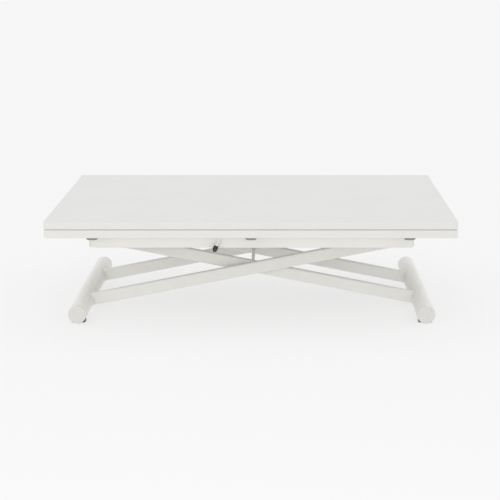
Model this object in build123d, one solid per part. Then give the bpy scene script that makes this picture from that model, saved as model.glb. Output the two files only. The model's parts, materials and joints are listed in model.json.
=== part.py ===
"""Folding-top table on a scissor base.

Two stacked leaves slide and fold open on a steel top frame, and a crossed pair of
leg frames raises them from coffee-table height to dining height.

Millimetres, +Z up.  The origin is on the floor, below the middle of the top.  +X runs
along the table, and the height lever is on the -Y side, the front.
"""
import os
from math import atan2, cos, degrees, hypot, radians, sin

from build123d import *

# Leaves
leaf_length = 1200.0
leaf_depth = 750.0
leaf_thickness = 24.0
leaf_gap = 0.8
leaf_corner_radius = 3.5
leaf_mating_round = 2.5
leaf_outer_round = 1.2
band_groove_inset = 0.4
band_groove_width = 0.3
band_groove_depth = 0.15

# Top frame
frame_length = 970.0
frame_depth = 550.0
frame_top_height = 270.0
rail_height = 40.0
rail_width = 20.0
cross_height = 32.0
cross_width = 20.0
frame_tube_wall = 2.0
frame_tube_round = 2.0
rail_cap_length = 8.0
rail_cap_round = 7.5
rail_cap_edge_round = 1.9
rail_plug_length = 10.0

# Foot tubes and the shoes that they turn in
foot_span = 1048.0
foot_tube_radius = 27.5
foot_tube_wall = 2.5
foot_length = 610.0
foot_cap_thickness = 6.0
foot_cap_round = 3.0
foot_plug_length = 14.0
foot_floor_gap = 2.5
shoe_width = 40.0
shoe_length = 30.0
shoe_height = 8.0
shoe_setback = 20.0
shoe_corner_radius = 5.0
shoe_top_chamfer = 1.0

# Legs: the outer pair stands on the left foot, the inner pair on the right foot
leg_width = 38.0
leg_thickness = 18.0
leg_wall = 2.0
leg_edge_round = 5.0
leg_boss_length = 60.0
leg_drain_radius = 3.0
outer_leg_y = 145.0
inner_leg_y = 120.0
leg_end_gap = 0.1
lift_angle = 28.0

# Axles, rollers and tracks
crossing_axle_radius = 5.0
crossing_axle_blind = 4.0
pivot_axle_radius = 6.0
bush_wall = 2.0
washer_radius = 10.0
roller_radius = 13.2
roller_width = 14.0
roller_edge_round = 1.0
roller_offset = 5.0
track_wall = 2.0
track_depth = 23.0
track_leg_gap = 3.0
track_end_inset = 10.0
bumper_length = 13.6
axle_end_length = 2.0
clip_thickness = 1.6
collar_thickness = 5.0

# Sliding guides between the frame and the lower leaf
guide_frame_inset = 21.8
guide_height = 12.8
guide_top_width = 44.0
guide_foot_width = 19.0
guide_setback = 18.0
bar_foot_width = 12.0
bar_head_width = 24.0
bar_height = 9.4
bar_end_inset = 2.0
runner_lift = 3.2
guide_cap_thickness = 3.0
runner_screw_count = 5
screw_margin = 40.0

# Locking gas spring and its bracket
cylinder_radius = 13.0
cylinder_wall = 1.5
cylinder_end_wall = 5.0
cylinder_neck_length = 8.0
cylinder_neck_radius = 6.0
eye_radius = 12.0
eye_width = 12.0
gas_rod_radius = 5.0
piston_length = 12.0
gland_length = 10.0
stroke_margin = 3.0
head_length = 35.0
head_width = 28.0
head_edge_round = 2.0
head_web_gap = 1.0
rod_thread_length = 14.0
bracket_plate = 4.0
bracket_web = 2.5
bracket_strap_height = 12.0
bracket_margin = 2.5
head_bolt_radius = 3.0
head_bolt_depth = 7.5
head_bolt_head_radius = 5.5
head_bolt_head_height = 4.0

# Release lever, its finger and the valve pin
lever_axis_x = -90.0
lever_rod_radius = 4.0
lever_front_gap = 12.0
lever_arm_length = 47.5
lever_arm_tilt = 21.8
lever_bend_radius = 12.0
lever_tail_length = 24.0
grip_radius = 7.8
grip_end_radius = 6.2
grip_end_round = 4.2
grip_length = 22.0
grip_socket_margin = 5.0
bearing_width = 20.0
bearing_length = 16.0
bearing_wall = 3.0
bearing_round = 3.0
finger_thickness = 5.0
finger_width = 10.0
finger_hub_radius = 7.0
finger_overrun = 8.0
pin_radius = 2.0
pin_length = 18.0
pin_reach = 6.3
pin_bore_end_gap = 1.0
pin_travel = 5.7

# Leaf hinges
hinge_spacing = 450.0
hinge_length = 60.0
hinge_plate = 1.6
hinge_plate_height = 14.0
hinge_knuckle_radius = 2.6
hinge_knuckle_count = 5
hinge_pin_radius = 1.3
hinge_screw_spacing = 36.0
hinge_axis_offset = 0.5

# Fasteners and pads
screw_radius = 2.0
screw_head_radius = 4.0
screw_head_height = 2.0
runner_screw_length = 14.0
guide_screw_length = 16.0
hinge_screw_radius = 1.5
hinge_screw_head_radius = 3.0
hinge_screw_head_height = 1.5
hinge_screw_length = 14.0
pad_radius = 5.0
pad_thickness = 0.7
pad_inset = 40.0

# Clearances
running_clearance = 0.05
plug_clearance = 0.1
sliding_clearance = 0.4
curved_clearance = 0.3
knuckle_gap = 0.4
touch_gap = 0.3

# Heights and spans that follow from the sizes above
foot_axis_z = foot_floor_gap + foot_tube_radius
foot_half_span = foot_span / 2
cross_bottom = frame_top_height - cross_height
rail_bottom = frame_top_height - rail_height
roller_axle_z = cross_bottom - track_wall - curved_clearance - roller_radius
frame_half_length = frame_length / 2
frame_half_depth = frame_depth / 2
rail_inner_y = frame_half_depth - rail_width
pivot_half_span = frame_half_length - cross_width - leg_width / 2 - leg_end_gap
leg_rise = roller_axle_z - foot_axis_z
leg_run = foot_half_span + pivot_half_span
leg_angle = degrees(atan2(leg_rise, leg_run))
leg_pivot_length = hypot(leg_rise, leg_run)
foot_to_crossing = foot_half_span / cos(radians(leg_angle))
crossing_to_pivot = pivot_half_span / cos(radians(leg_angle))
crossing_z = foot_axis_z + foot_to_crossing * sin(radians(leg_angle))
raised_angle = radians(leg_angle + lift_angle)
roller_travel = 2 * (pivot_half_span - crossing_to_pivot * cos(raised_angle))
leaf_bottom = frame_top_height + guide_height
seam_low = leaf_bottom + leaf_thickness
seam_high = seam_low + leaf_gap
table_top = seam_high + leaf_thickness
leaf_half_depth = leaf_depth / 2
outer_leg_face = outer_leg_y + leg_thickness / 2
outer_leg_back = outer_leg_y - leg_thickness / 2
inner_leg_face = inner_leg_y + leg_thickness / 2
inner_leg_back = inner_leg_y - leg_thickness / 2
track_open_y = outer_leg_face + track_leg_gap
track_back_y = track_open_y + track_depth
track_web_y = track_back_y - track_wall
roller_low_y = outer_leg_face + roller_offset
roller_high_y = roller_low_y + roller_width
hinge_axis_y = leaf_half_depth + hinge_axis_offset
hinge_axis_z = (seam_low + seam_high) / 2

nodes = {}


def block(x_low, x_high, y_low, y_high, z_low, z_high):
    """A box between two corners."""
    middle = Pos((x_low + x_high) / 2, (y_low + y_high) / 2, (z_low + z_high) / 2)
    return middle * Box(x_high - x_low, y_high - y_low, z_high - z_low)


def bar_y(radius, y_low, y_high, x, z):
    """A round bar along Y."""
    return Pos(x, (y_low + y_high) / 2, z) * Rot(90, 0, 0) * Cylinder(radius, y_high - y_low)


def bar_x(radius, x_low, x_high, y, z):
    """A round bar along X."""
    return Pos((x_low + x_high) / 2, y, z) * Rot(0, 90, 0) * Cylinder(radius, x_high - x_low)


def sleeve_y(outer, inner, y_low, y_high, x, z):
    """A ring or bush along Y."""
    return bar_y(outer, y_low, y_high, x, z) - bar_y(inner, y_low, y_high, x, z)


def prism_y(points, y_low, y_high):
    """A prism along Y from an outline of (x, z) points."""
    outline = Plane.XZ * Polygon(*points, align=None)
    return Pos(0, y_high, 0) * extrude(outline, y_high - y_low)


def hollow(shell, x_wall, y_wall, z_wall):
    """The inside of a box-section tube; a wall of 0 leaves that way open."""
    box = shell.bounding_box()
    return block(
        box.min.X + x_wall, box.max.X - x_wall,
        box.min.Y + y_wall, box.max.Y - y_wall,
        box.min.Z + z_wall, box.max.Z - z_wall,
    )


def front_and_rear(solid):
    """A piece at the front and its mirror image at the rear."""
    return solid, mirror(solid, Plane.XZ)


def countersunk_screw(radius, head_radius, head_height, length):
    """A screw along +Z whose flat head starts at the origin."""
    head = Pos(0, 0, head_height / 2) * Cone(head_radius, radius, head_height)
    shank = Pos(0, 0, (head_height + length) / 2) * Cylinder(radius, length - head_height)
    return head + shank


# ---------------------------------------------------------------- feet and shoes

def foot_tube(x):
    """One floor tube, open at both ends for its caps."""
    half = foot_length / 2 - foot_cap_thickness
    return sleeve_y(foot_tube_radius, foot_tube_radius - foot_tube_wall, -half, half, x, foot_axis_z)


def foot_cap(x):
    """The front end cap of a floor tube: a soft-edged disc with a plug behind it."""
    face_y = -foot_length / 2
    back_y = face_y + foot_cap_thickness
    disc = bar_y(foot_tube_radius, face_y, back_y, x, foot_axis_z)
    disc = fillet(disc.edges().sort_by(Axis.Y)[0], foot_cap_round)
    plug_radius = foot_tube_radius - foot_tube_wall - plug_clearance
    return disc + bar_y(plug_radius, back_y, back_y + foot_plug_length, x, foot_axis_z)


def foot_shoe(x):
    """The front saddle that a floor tube turns in."""
    front_y = -foot_length / 2 + shoe_setback
    saddle = block(x - shoe_width / 2, x + shoe_width / 2, front_y, front_y + shoe_length, 0, shoe_height)
    saddle = fillet(saddle.edges().filter_by(Axis.Z), shoe_corner_radius)
    saddle = chamfer(saddle.faces().sort_by(Axis.Z)[-1].edges(), shoe_top_chamfer)
    cradle = foot_tube_radius + curved_clearance
    return saddle - bar_y(cradle, front_y - 1, front_y + shoe_length + 1, x, foot_axis_z)


for side, foot_x in (("left", -foot_half_span), ("right", foot_half_span)):
    nodes[f"{side}_foot_tube"] = foot_tube(foot_x)
    caps = front_and_rear(foot_cap(foot_x))
    shoes = front_and_rear(foot_shoe(foot_x))
    for end, cap, shoe in zip(("front", "rear"), caps, shoes):
        nodes[f"{side}_foot_cap_{end}"] = cap
        nodes[f"{side}_shoe_{end}"] = shoe

# ---------------------------------------------------------------- legs

def leg(crossing_radius, crossing_depth, end_radius):
    """A leg along +X from its foot tube's axis, with its bores along Y.

    crossing_depth is how far the crossing bore goes in from the side nearer the middle.
    """
    bar = block(0, leg_pivot_length, -leg_thickness / 2, leg_thickness / 2, -leg_width / 2, leg_width / 2)
    bar += bar_y(leg_width / 2, -leg_thickness / 2, leg_thickness / 2, leg_pivot_length, 0)
    bar = fillet(bar.faces().filter_by(Axis.Y).edges(), leg_edge_round)
    bar -= bar_y(foot_tube_radius, -leg_thickness, leg_thickness, 0, 0)
    half_boss = leg_boss_length / 2
    pockets = (
        (0, foot_to_crossing - half_boss),
        (foot_to_crossing + half_boss, leg_pivot_length - half_boss),
    )
    for low_x, high_x in pockets:
        inner_y = leg_thickness / 2 - leg_wall
        inner_z = leg_width / 2 - leg_wall
        pocket = block(low_x, high_x, -inner_y, inner_y, -inner_z, inner_z)
        bar -= fillet(pocket.edges().filter_by(Axis.X), leg_edge_round - leg_wall)
    drain_x = pockets[1][0] + leg_width / 2
    bar -= Pos(drain_x, 0, -leg_width / 2) * Cylinder(leg_drain_radius, 4 * leg_wall)
    bar -= bar_y(crossing_radius, leg_thickness / 2 - crossing_depth, leg_thickness, foot_to_crossing, 0)
    return bar - bar_y(end_radius, -leg_thickness, leg_thickness, leg_pivot_length, 0)


blind_depth = leg_thickness - crossing_axle_blind
outer_leg = leg(crossing_axle_radius, blind_depth, pivot_axle_radius)
outer_leg = Pos(-foot_half_span, -outer_leg_y, foot_axis_z) * Rot(0, -leg_angle, 0) * outer_leg
nodes["outer_leg_front"], nodes["outer_leg_rear"] = front_and_rear(outer_leg)

bush_crossing_radius = crossing_axle_radius + running_clearance + bush_wall
bush_pivot_radius = pivot_axle_radius + running_clearance + bush_wall
inner_leg = leg(bush_crossing_radius, 2 * leg_thickness, bush_pivot_radius)
inner_leg = mirror(Rot(0, -leg_angle, 0) * inner_leg, Plane.YZ)
inner_leg = Pos(foot_half_span, -inner_leg_y, foot_axis_z) * inner_leg
nodes["inner_leg_front"], nodes["inner_leg_rear"] = front_and_rear(inner_leg)

crossing_bush = sleeve_y(
    bush_crossing_radius, crossing_axle_radius + running_clearance,
    -inner_leg_face, -inner_leg_back, 0, crossing_z,
)
pivot_bush = sleeve_y(
    bush_pivot_radius, pivot_axle_radius + running_clearance,
    -inner_leg_face, -inner_leg_back, -pivot_half_span, roller_axle_z,
)
nodes["inner_leg_bushes"] = Compound(children=[*front_and_rear(crossing_bush), *front_and_rear(pivot_bush)])

# ---------------------------------------------------------------- axles and rollers

crossing_axle_end = outer_leg_face - crossing_axle_blind
nodes["crossing_axle"] = bar_y(crossing_axle_radius, -crossing_axle_end, crossing_axle_end, 0, crossing_z)
crossing_washer = sleeve_y(
    washer_radius, crossing_axle_radius, -outer_leg_back, -inner_leg_face - touch_gap, 0, crossing_z,
)
nodes["crossing_washers"] = Compound(children=[*front_and_rear(crossing_washer)])

roller_axle_end = roller_high_y + touch_gap + clip_thickness + axle_end_length / 2
nodes["roller_axle"] = bar_y(
    pivot_axle_radius, -roller_axle_end, roller_axle_end, pivot_half_span, roller_axle_z,
)
roller = bar_y(roller_radius, -roller_high_y, -roller_low_y, pivot_half_span, roller_axle_z)
roller = fillet(roller.edges(), roller_edge_round)
roller -= bar_y(
    pivot_axle_radius + running_clearance, -roller_high_y, -roller_low_y, pivot_half_span, roller_axle_z,
)
nodes["roller_front"], nodes["roller_rear"] = front_and_rear(roller)

eye_side = eye_width / 2 + touch_gap
roller_collars = []
for low_y, high_y in (
    (outer_leg_face, roller_low_y - touch_gap),
    (roller_high_y + touch_gap, roller_high_y + touch_gap + clip_thickness),
    (eye_side, eye_side + collar_thickness),
):
    collar = sleeve_y(washer_radius, pivot_axle_radius, -high_y, -low_y, pivot_half_span, roller_axle_z)
    roller_collars.extend(front_and_rear(collar))
nodes["roller_axle_collars"] = Compound(children=roller_collars)

fixed_axle_end = track_back_y + axle_end_length
fixed_axle = bar_y(pivot_axle_radius, -fixed_axle_end, fixed_axle_end, -pivot_half_span, roller_axle_z)
nodes["fixed_pivot_axle"] = fixed_axle
fixed_spacers = []
for low_y, high_y in (
    (inner_leg_face + touch_gap, track_web_y),
    (inner_leg_back - touch_gap - collar_thickness, inner_leg_back - touch_gap),
):
    spacer = sleeve_y(washer_radius, pivot_axle_radius, -high_y, -low_y, -pivot_half_span, roller_axle_z)
    fixed_spacers.extend(front_and_rear(spacer))
nodes["fixed_pivot_spacers"] = Compound(children=fixed_spacers)

# ---------------------------------------------------------------- tracks

track_end_x = frame_half_length - track_end_inset
track_inner_half = roller_radius + curved_clearance
track_low = roller_axle_z - track_inner_half - track_wall
track = block(-track_end_x, track_end_x, -track_back_y, -track_open_y, track_low, cross_bottom)
track -= block(
    -track_end_x, track_end_x, -track_web_y, -track_open_y,
    roller_axle_z - track_inner_half, roller_axle_z + track_inner_half,
)
track -= fixed_axle
nodes["front_track"], nodes["rear_track"] = front_and_rear(track)

outer_stop_x = pivot_half_span + roller_radius + touch_gap
inner_stop_x = pivot_half_span - roller_travel - roller_radius - touch_gap
bumpers = []
outer_stop = (outer_stop_x, outer_stop_x + bumper_length)
inner_stop = (inner_stop_x - bumper_length, inner_stop_x)
for low_x, high_x in (outer_stop, inner_stop):
    bumper = block(
        low_x, high_x, -track_web_y, -roller_low_y,
        roller_axle_z - track_inner_half, roller_axle_z + track_inner_half,
    )
    bumpers.extend(front_and_rear(bumper))
nodes["track_bumpers"] = Compound(children=bumpers)

# ---------------------------------------------------------------- sliding guides

side_guide_x = frame_half_length - guide_frame_inset
guide_xs = {"left": -side_guide_x, "middle": 0.0, "right": side_guide_x}
guide_end_y = leaf_half_depth - guide_setback
runner_front_y = -guide_end_y + guide_cap_thickness
bar_front_y = runner_front_y + bar_end_inset
bar_rear_y = guide_end_y - bar_end_inset
bar_top = frame_top_height + bar_height
guide_slope = (guide_top_width - guide_foot_width) / guide_height
bar_slope = (bar_head_width - bar_foot_width) / bar_height


def flared_outline(foot_width, slope, z_low, z_high):
    """A symmetric outline that widens upwards; foot_width is its width at the frame's top."""
    low_half = (foot_width + slope * (z_low - frame_top_height)) / 2
    high_half = (foot_width + slope * (z_high - frame_top_height)) / 2
    return (-low_half, z_low), (low_half, z_low), (high_half, z_high), (-high_half, z_high)


runner_bottom = frame_top_height + runner_lift
cavity_top = bar_top + sliding_clearance
runner = prism_y(
    flared_outline(guide_foot_width, guide_slope, runner_bottom, leaf_bottom), runner_front_y, guide_end_y,
)
runner -= prism_y(
    flared_outline(bar_foot_width + 2 * sliding_clearance, bar_slope, runner_bottom, cavity_top),
    runner_front_y, guide_end_y,
)
runner_screw = Pos(0, 0, cavity_top) * countersunk_screw(
    screw_radius, screw_head_radius, screw_head_height, runner_screw_length,
)
screw_span = guide_end_y - screw_margin
screw_step = 2 * screw_span / (runner_screw_count - 1)
screw_column = [
    Pos(0, -screw_span + index * screw_step, 0) * runner_screw for index in range(runner_screw_count)
]
for screw in screw_column:
    runner -= screw

guide_cap = prism_y(
    flared_outline(guide_foot_width, guide_slope, runner_bottom, leaf_bottom), -guide_end_y, runner_front_y,
)

guide_bar = prism_y(
    flared_outline(bar_foot_width, bar_slope, frame_top_height, bar_top), bar_front_y, bar_rear_y,
)
rail_middle_y = frame_half_depth - rail_width / 2
guide_screw = Pos(0, 0, bar_top) * Rot(180, 0, 0) * countersunk_screw(
    screw_radius, screw_head_radius, screw_head_height, guide_screw_length,
)
guide_screw_pair = [Pos(0, -rail_middle_y, 0) * guide_screw, Pos(0, rail_middle_y, 0) * guide_screw]
for screw in guide_screw_pair:
    guide_bar -= screw

guide_screws = []
runner_screws = []
guide_caps = []
for side, guide_x in guide_xs.items():
    nodes[f"{side}_guide_bar"] = Pos(guide_x, 0, 0) * guide_bar
    nodes[f"{side}_runner"] = Pos(guide_x, 0, 0) * runner
    guide_screws.extend(Pos(guide_x, 0, 0) * screw for screw in guide_screw_pair)
    runner_screws.extend(Pos(guide_x, 0, 0) * screw for screw in screw_column)
    guide_caps.append(Pos(guide_x, 0, 0) * guide_cap)
nodes["guide_screws"] = Compound(children=guide_screws)
nodes["runner_screws"] = Compound(children=runner_screws)
nodes["runner_end_caps"] = Compound(children=guide_caps)

# ---------------------------------------------------------------- top frame

rail_end_x = frame_half_length - rail_cap_length
rail = block(-rail_end_x, rail_end_x, -frame_half_depth, -rail_inner_y, rail_bottom, frame_top_height)
rail_inside = hollow(rail, 0, frame_tube_wall, frame_tube_wall)
rail = fillet(rail.edges().filter_by(Axis.X), frame_tube_round) - rail_inside
for screw in guide_screws:
    if screw.center().Y < 0:
        rail -= screw
nodes["front_rail"], nodes["rear_rail"] = front_and_rear(rail)

rail_cap = block(
    rail_end_x, frame_half_length, -frame_half_depth, -rail_inner_y, rail_bottom, frame_top_height,
)
low_corner = rail_cap.edges().filter_by(Axis.Y).sort_by(Axis.Z)[:2].sort_by(Axis.X)[-1]
rail_cap = fillet(low_corner, rail_cap_round)
inner_end = rail_cap.faces().sort_by(Axis.X)[0]
outer_ends = rail_cap.faces().filter_by(Axis.Y).edges() - inner_end.edges()
rail_cap = fillet(outer_ends, rail_cap_edge_round)
plug_wall = frame_tube_wall + plug_clearance
rail_cap += block(
    rail_end_x - rail_plug_length, rail_end_x,
    -frame_half_depth + plug_wall, -rail_inner_y - plug_wall,
    rail_bottom + plug_wall, frame_top_height - plug_wall,
)
right_caps = front_and_rear(rail_cap)
nodes["rail_end_caps"] = Compound(children=[*right_caps, *(mirror(cap, Plane.YZ) for cap in right_caps)])

cross_xs = {
    "left": -frame_half_length + cross_width / 2,
    "middle": 0.0,
    "right": frame_half_length - cross_width / 2,
}
for side, cross_x in cross_xs.items():
    member = block(
        cross_x - cross_width / 2, cross_x + cross_width / 2,
        -rail_inner_y, rail_inner_y, cross_bottom, frame_top_height,
    )
    inside = hollow(member, frame_tube_wall, 0, frame_tube_wall)
    nodes[f"{side}_cross_member"] = fillet(member.edges().filter_by(Axis.Y), frame_tube_round) - inside

# ---------------------------------------------------------------- gas spring

pin_tip_x = lever_axis_x + finger_thickness / 2 + touch_gap
head_low_x = pin_tip_x + pin_reach
head_high_x = head_low_x + head_length
rod_start_x = head_high_x - rod_thread_length
cylinder_bore = cylinder_radius - cylinder_wall
cylinder_high_x = pivot_half_span - eye_radius - cylinder_neck_length
inside_length = gland_length + piston_length + roller_travel + 2 * stroke_margin
cylinder_low_x = cylinder_high_x - cylinder_end_wall - inside_length
piston_low_x = cylinder_low_x + gland_length + stroke_margin

cylinder = bar_x(cylinder_radius, cylinder_low_x, cylinder_high_x, 0, roller_axle_z)
cylinder -= bar_x(cylinder_bore, cylinder_low_x, cylinder_high_x - cylinder_end_wall, 0, roller_axle_z)
cylinder += bar_x(cylinder_neck_radius, cylinder_high_x, pivot_half_span, 0, roller_axle_z)
cylinder += bar_y(eye_radius, -eye_width / 2, eye_width / 2, pivot_half_span, roller_axle_z)
eye_bore = pivot_axle_radius + running_clearance
cylinder -= bar_y(eye_bore, -eye_width, eye_width, pivot_half_span, roller_axle_z)
nodes["gas_cylinder"] = cylinder

gland_high_x = cylinder_low_x + gland_length
gland = bar_x(cylinder_bore, cylinder_low_x, gland_high_x, 0, roller_axle_z)
gland -= bar_x(gas_rod_radius + running_clearance, cylinder_low_x, gland_high_x, 0, roller_axle_z)
nodes["gas_gland"] = gland

piston_high_x = piston_low_x + piston_length
gas_rod = bar_x(gas_rod_radius, rod_start_x, piston_high_x, 0, roller_axle_z)
gas_rod += bar_x(cylinder_bore - running_clearance, piston_low_x, piston_high_x, 0, roller_axle_z)
nodes["gas_rod"] = gas_rod

head_high_z = cross_bottom - bracket_web - head_web_gap
head_low_z = 2 * roller_axle_z - head_high_z
pin_back_x = pin_tip_x + pin_length
head_middle_x = (head_low_x + head_high_x) / 2
head_bolt_end = head_width / 2 + bracket_plate
head_bolt_tip = -head_width / 2 + head_bolt_depth
head_bolt_face = -head_bolt_end - head_bolt_head_height
head_bolt = bar_y(head_bolt_radius, -head_bolt_end, head_bolt_tip, head_middle_x, roller_axle_z)
head_bolt += bar_y(head_bolt_head_radius, head_bolt_face, -head_bolt_end, head_middle_x, roller_axle_z)
head_bolts = front_and_rear(head_bolt)
nodes["head_bolts"] = Compound(children=[*head_bolts])

release_head = block(head_low_x, head_high_x, -head_width / 2, head_width / 2, head_low_z, head_high_z)
release_head = fillet(release_head.edges().filter_by(Axis.X), head_edge_round)
release_head -= bar_x(gas_rod_radius, rod_start_x, head_high_x, 0, roller_axle_z)
pin_bore_end_x = pin_back_x + pin_travel + pin_bore_end_gap
release_head -= bar_x(pin_radius + running_clearance, head_low_x, pin_bore_end_x, 0, roller_axle_z)
for bolt in head_bolts:
    release_head -= bolt
nodes["release_head"] = release_head
nodes["release_pin"] = bar_x(pin_radius, pin_tip_x, pin_back_x, 0, roller_axle_z)

# ---------------------------------------------------------------- lever and bracket

lever_axis_z = frame_top_height + lever_rod_radius + touch_gap * 2
bearing_top = lever_axis_z + lever_rod_radius + bearing_wall
lever_plane_y = -frame_half_depth - lever_front_gap
lever_bore = lever_rod_radius + running_clearance

bracket_low_y = head_width / 2
bracket_high_y = bracket_low_y + bracket_plate
ear_low_x = lever_axis_x - bearing_width / 2
ear_high_x = lever_axis_x + bearing_width / 2
strap_low = cross_bottom - bracket_strap_height
bracket = block(
    head_low_x, cross_width / 2, -bracket_low_y, bracket_low_y, cross_bottom - bracket_web, cross_bottom,
)
for inner_y, outer_y in ((-bracket_high_y, -bracket_low_y), (bracket_low_y, bracket_high_y)):
    bracket += block(ear_low_x, ear_high_x, inner_y, outer_y, strap_low, bearing_top)
    bracket += block(ear_low_x, cross_width / 2, inner_y, outer_y, strap_low, cross_bottom)
    bracket += block(
        head_low_x - bracket_margin, head_high_x + bracket_margin, inner_y, outer_y,
        head_low_z - bracket_margin, cross_bottom,
    )
bracket -= bar_y(lever_bore, -bracket_high_y, bracket_high_y, lever_axis_x, lever_axis_z)
for bolt in head_bolts:
    bracket -= bolt
nodes["gas_spring_bracket"] = bracket

bearing_middle_y = -rail_middle_y
bearing = block(
    ear_low_x, ear_high_x, bearing_middle_y - bearing_length / 2, bearing_middle_y + bearing_length / 2,
    frame_top_height, bearing_top,
)
bearing = fillet(bearing.edges().filter_by(Axis.Y).sort_by(Axis.Z)[-2:], bearing_round)
bearing -= bar_y(
    lever_bore, bearing_middle_y - bearing_length / 2, bearing_middle_y + bearing_length / 2,
    lever_axis_x, lever_axis_z,
)
nodes["lever_bearing"] = bearing

arm_direction = Vector(-sin(radians(lever_arm_tilt)), 0, -cos(radians(lever_arm_tilt)))
lever_corner = Vector(lever_axis_x, lever_plane_y, lever_axis_z)
grip_middle = lever_corner + arm_direction * lever_arm_length
lever_end = grip_middle + arm_direction * (grip_length / 2 - grip_socket_margin)
lever_tail = Vector(lever_axis_x, lever_tail_length, lever_axis_z)
lever_path = FilletPolyline(lever_tail, lever_corner, lever_end, radius=lever_bend_radius)
lever_section = Plane(origin=lever_path @ 0, z_dir=lever_path % 0) * Circle(lever_rod_radius)
nodes["lever_rod"] = sweep(lever_section, path=lever_path)

half_grip = grip_length / 2
grip_bulge = ThreePointArc((grip_end_radius, -half_grip), (grip_radius, 0), (grip_end_radius, half_grip))
grip_rim = Polyline(
    (grip_end_radius, half_grip), (0, half_grip), (0, -half_grip), (grip_end_radius, -half_grip),
)
grip = revolve(Plane.XZ * make_face(grip_bulge + grip_rim), Axis.Z)
grip = fillet(grip.edges().filter_by(GeomType.CIRCLE), grip_end_round)
grip_plane = Plane(origin=grip_middle, z_dir=arm_direction)
socket_start = -half_grip
socket_end = half_grip - grip_socket_margin
socket = Pos(0, 0, (socket_start + socket_end) / 2) * Cylinder(lever_rod_radius, socket_end - socket_start)
nodes["lever_grip"] = grip_plane * (grip - socket)

finger = block(
    lever_axis_x - finger_thickness / 2, lever_axis_x + finger_thickness / 2,
    -finger_width / 2, finger_width / 2, roller_axle_z - finger_overrun, lever_axis_z,
)
finger += bar_y(finger_hub_radius, -finger_width / 2, finger_width / 2, lever_axis_x, lever_axis_z)
finger -= bar_y(lever_rod_radius, -finger_width, finger_width, lever_axis_x, lever_axis_z)
nodes["release_finger"] = finger

# ---------------------------------------------------------------- leaves and hinges

def band_groove(edge_round, z_low, z_high):
    """The hairline joint of the edge band, just inside a leaf's rounded edge."""
    outer = edge_round + band_groove_inset
    inner = outer + band_groove_width
    half = leaf_length / 2
    half_depth = leaf_half_depth - outer
    ring = block(-half + outer, half - outer, -half_depth, half_depth, z_low, z_high)
    return ring - block(
        -half + inner, half - inner, -leaf_half_depth + inner, leaf_half_depth - inner, z_low, z_high,
    )


def board(z_low, mating_up):
    """A leaf with eased edges; the side that meets the other leaf is rounder."""
    slab = block(
        -leaf_length / 2, leaf_length / 2, -leaf_half_depth, leaf_half_depth, z_low, z_low + leaf_thickness,
    )
    slab = fillet(slab.edges().filter_by(Axis.Z), leaf_corner_radius)
    low_round = leaf_outer_round if mating_up else leaf_mating_round
    high_round = leaf_mating_round if mating_up else leaf_outer_round
    slab = fillet(slab.faces().sort_by(Axis.Z)[-1].edges(), high_round)
    slab = fillet(slab.faces().sort_by(Axis.Z)[0].edges(), low_round)
    slab -= band_groove(low_round, z_low, z_low + band_groove_depth)
    z_high = z_low + leaf_thickness
    return slab - band_groove(high_round, z_high - band_groove_depth, z_high)


def hinge_half(first_knuckle, bore_radius):
    """The lower half of a hinge at x = 0, with every second knuckle from first_knuckle."""
    half = hinge_length / 2
    web_top = hinge_axis_z - hinge_pin_radius
    plate_bottom = seam_low - hinge_plate_height
    front_y = leaf_half_depth - hinge_plate
    plate = block(-half, half, front_y, leaf_half_depth, plate_bottom, web_top)
    plate -= bar_x(hinge_knuckle_radius + knuckle_gap, -half, half, hinge_axis_y, hinge_axis_z)
    pitch = hinge_length / hinge_knuckle_count
    for index in range(first_knuckle, hinge_knuckle_count, 2):
        low_x = -half + index * pitch + knuckle_gap / 2
        high_x = low_x + pitch - knuckle_gap
        plate += bar_x(hinge_knuckle_radius, low_x, high_x, hinge_axis_y, hinge_axis_z)
        plate += block(
            low_x, high_x, front_y, leaf_half_depth, web_top - hinge_knuckle_radius - knuckle_gap, web_top,
        )
    return plate - bar_x(bore_radius, -half, half, hinge_axis_y, hinge_axis_z)


hinge_xs = (-hinge_spacing, 0.0, hinge_spacing)
seam_plane = Plane(origin=(0, 0, hinge_axis_z), z_dir=(0, 0, 1))
hinge_screw_z = seam_low - hinge_plate_height / 2 - hinge_screw_head_radius / 2
hinge_screw = Pos(0, leaf_half_depth, hinge_screw_z) * Rot(90, 0, 0) * countersunk_screw(
    hinge_screw_radius, hinge_screw_head_radius, hinge_screw_head_height, hinge_screw_length,
)
hinge_screw_xs = (-hinge_screw_spacing / 2, hinge_screw_spacing / 2)
lower_plate = hinge_half(0, hinge_pin_radius)
upper_plate = hinge_half(1, hinge_pin_radius + running_clearance)
for screw_x in hinge_screw_xs:
    lower_plate -= Pos(screw_x, 0, 0) * hinge_screw
    upper_plate -= Pos(screw_x, 0, 0) * hinge_screw
upper_plate = mirror(upper_plate, seam_plane)

hinge_pin = bar_x(hinge_pin_radius, -hinge_length / 2, hinge_length / 2, hinge_axis_y, hinge_axis_z)
knuckle_groove_half = hinge_length / 2 + knuckle_gap
knuckle_groove = bar_x(
    hinge_knuckle_radius + knuckle_gap, -knuckle_groove_half, knuckle_groove_half, hinge_axis_y, hinge_axis_z,
)
plate_pocket = block(
    -hinge_length / 2, hinge_length / 2, leaf_half_depth - hinge_plate, leaf_half_depth + 1,
    seam_low - hinge_plate_height, seam_low + leaf_gap,
)

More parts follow.
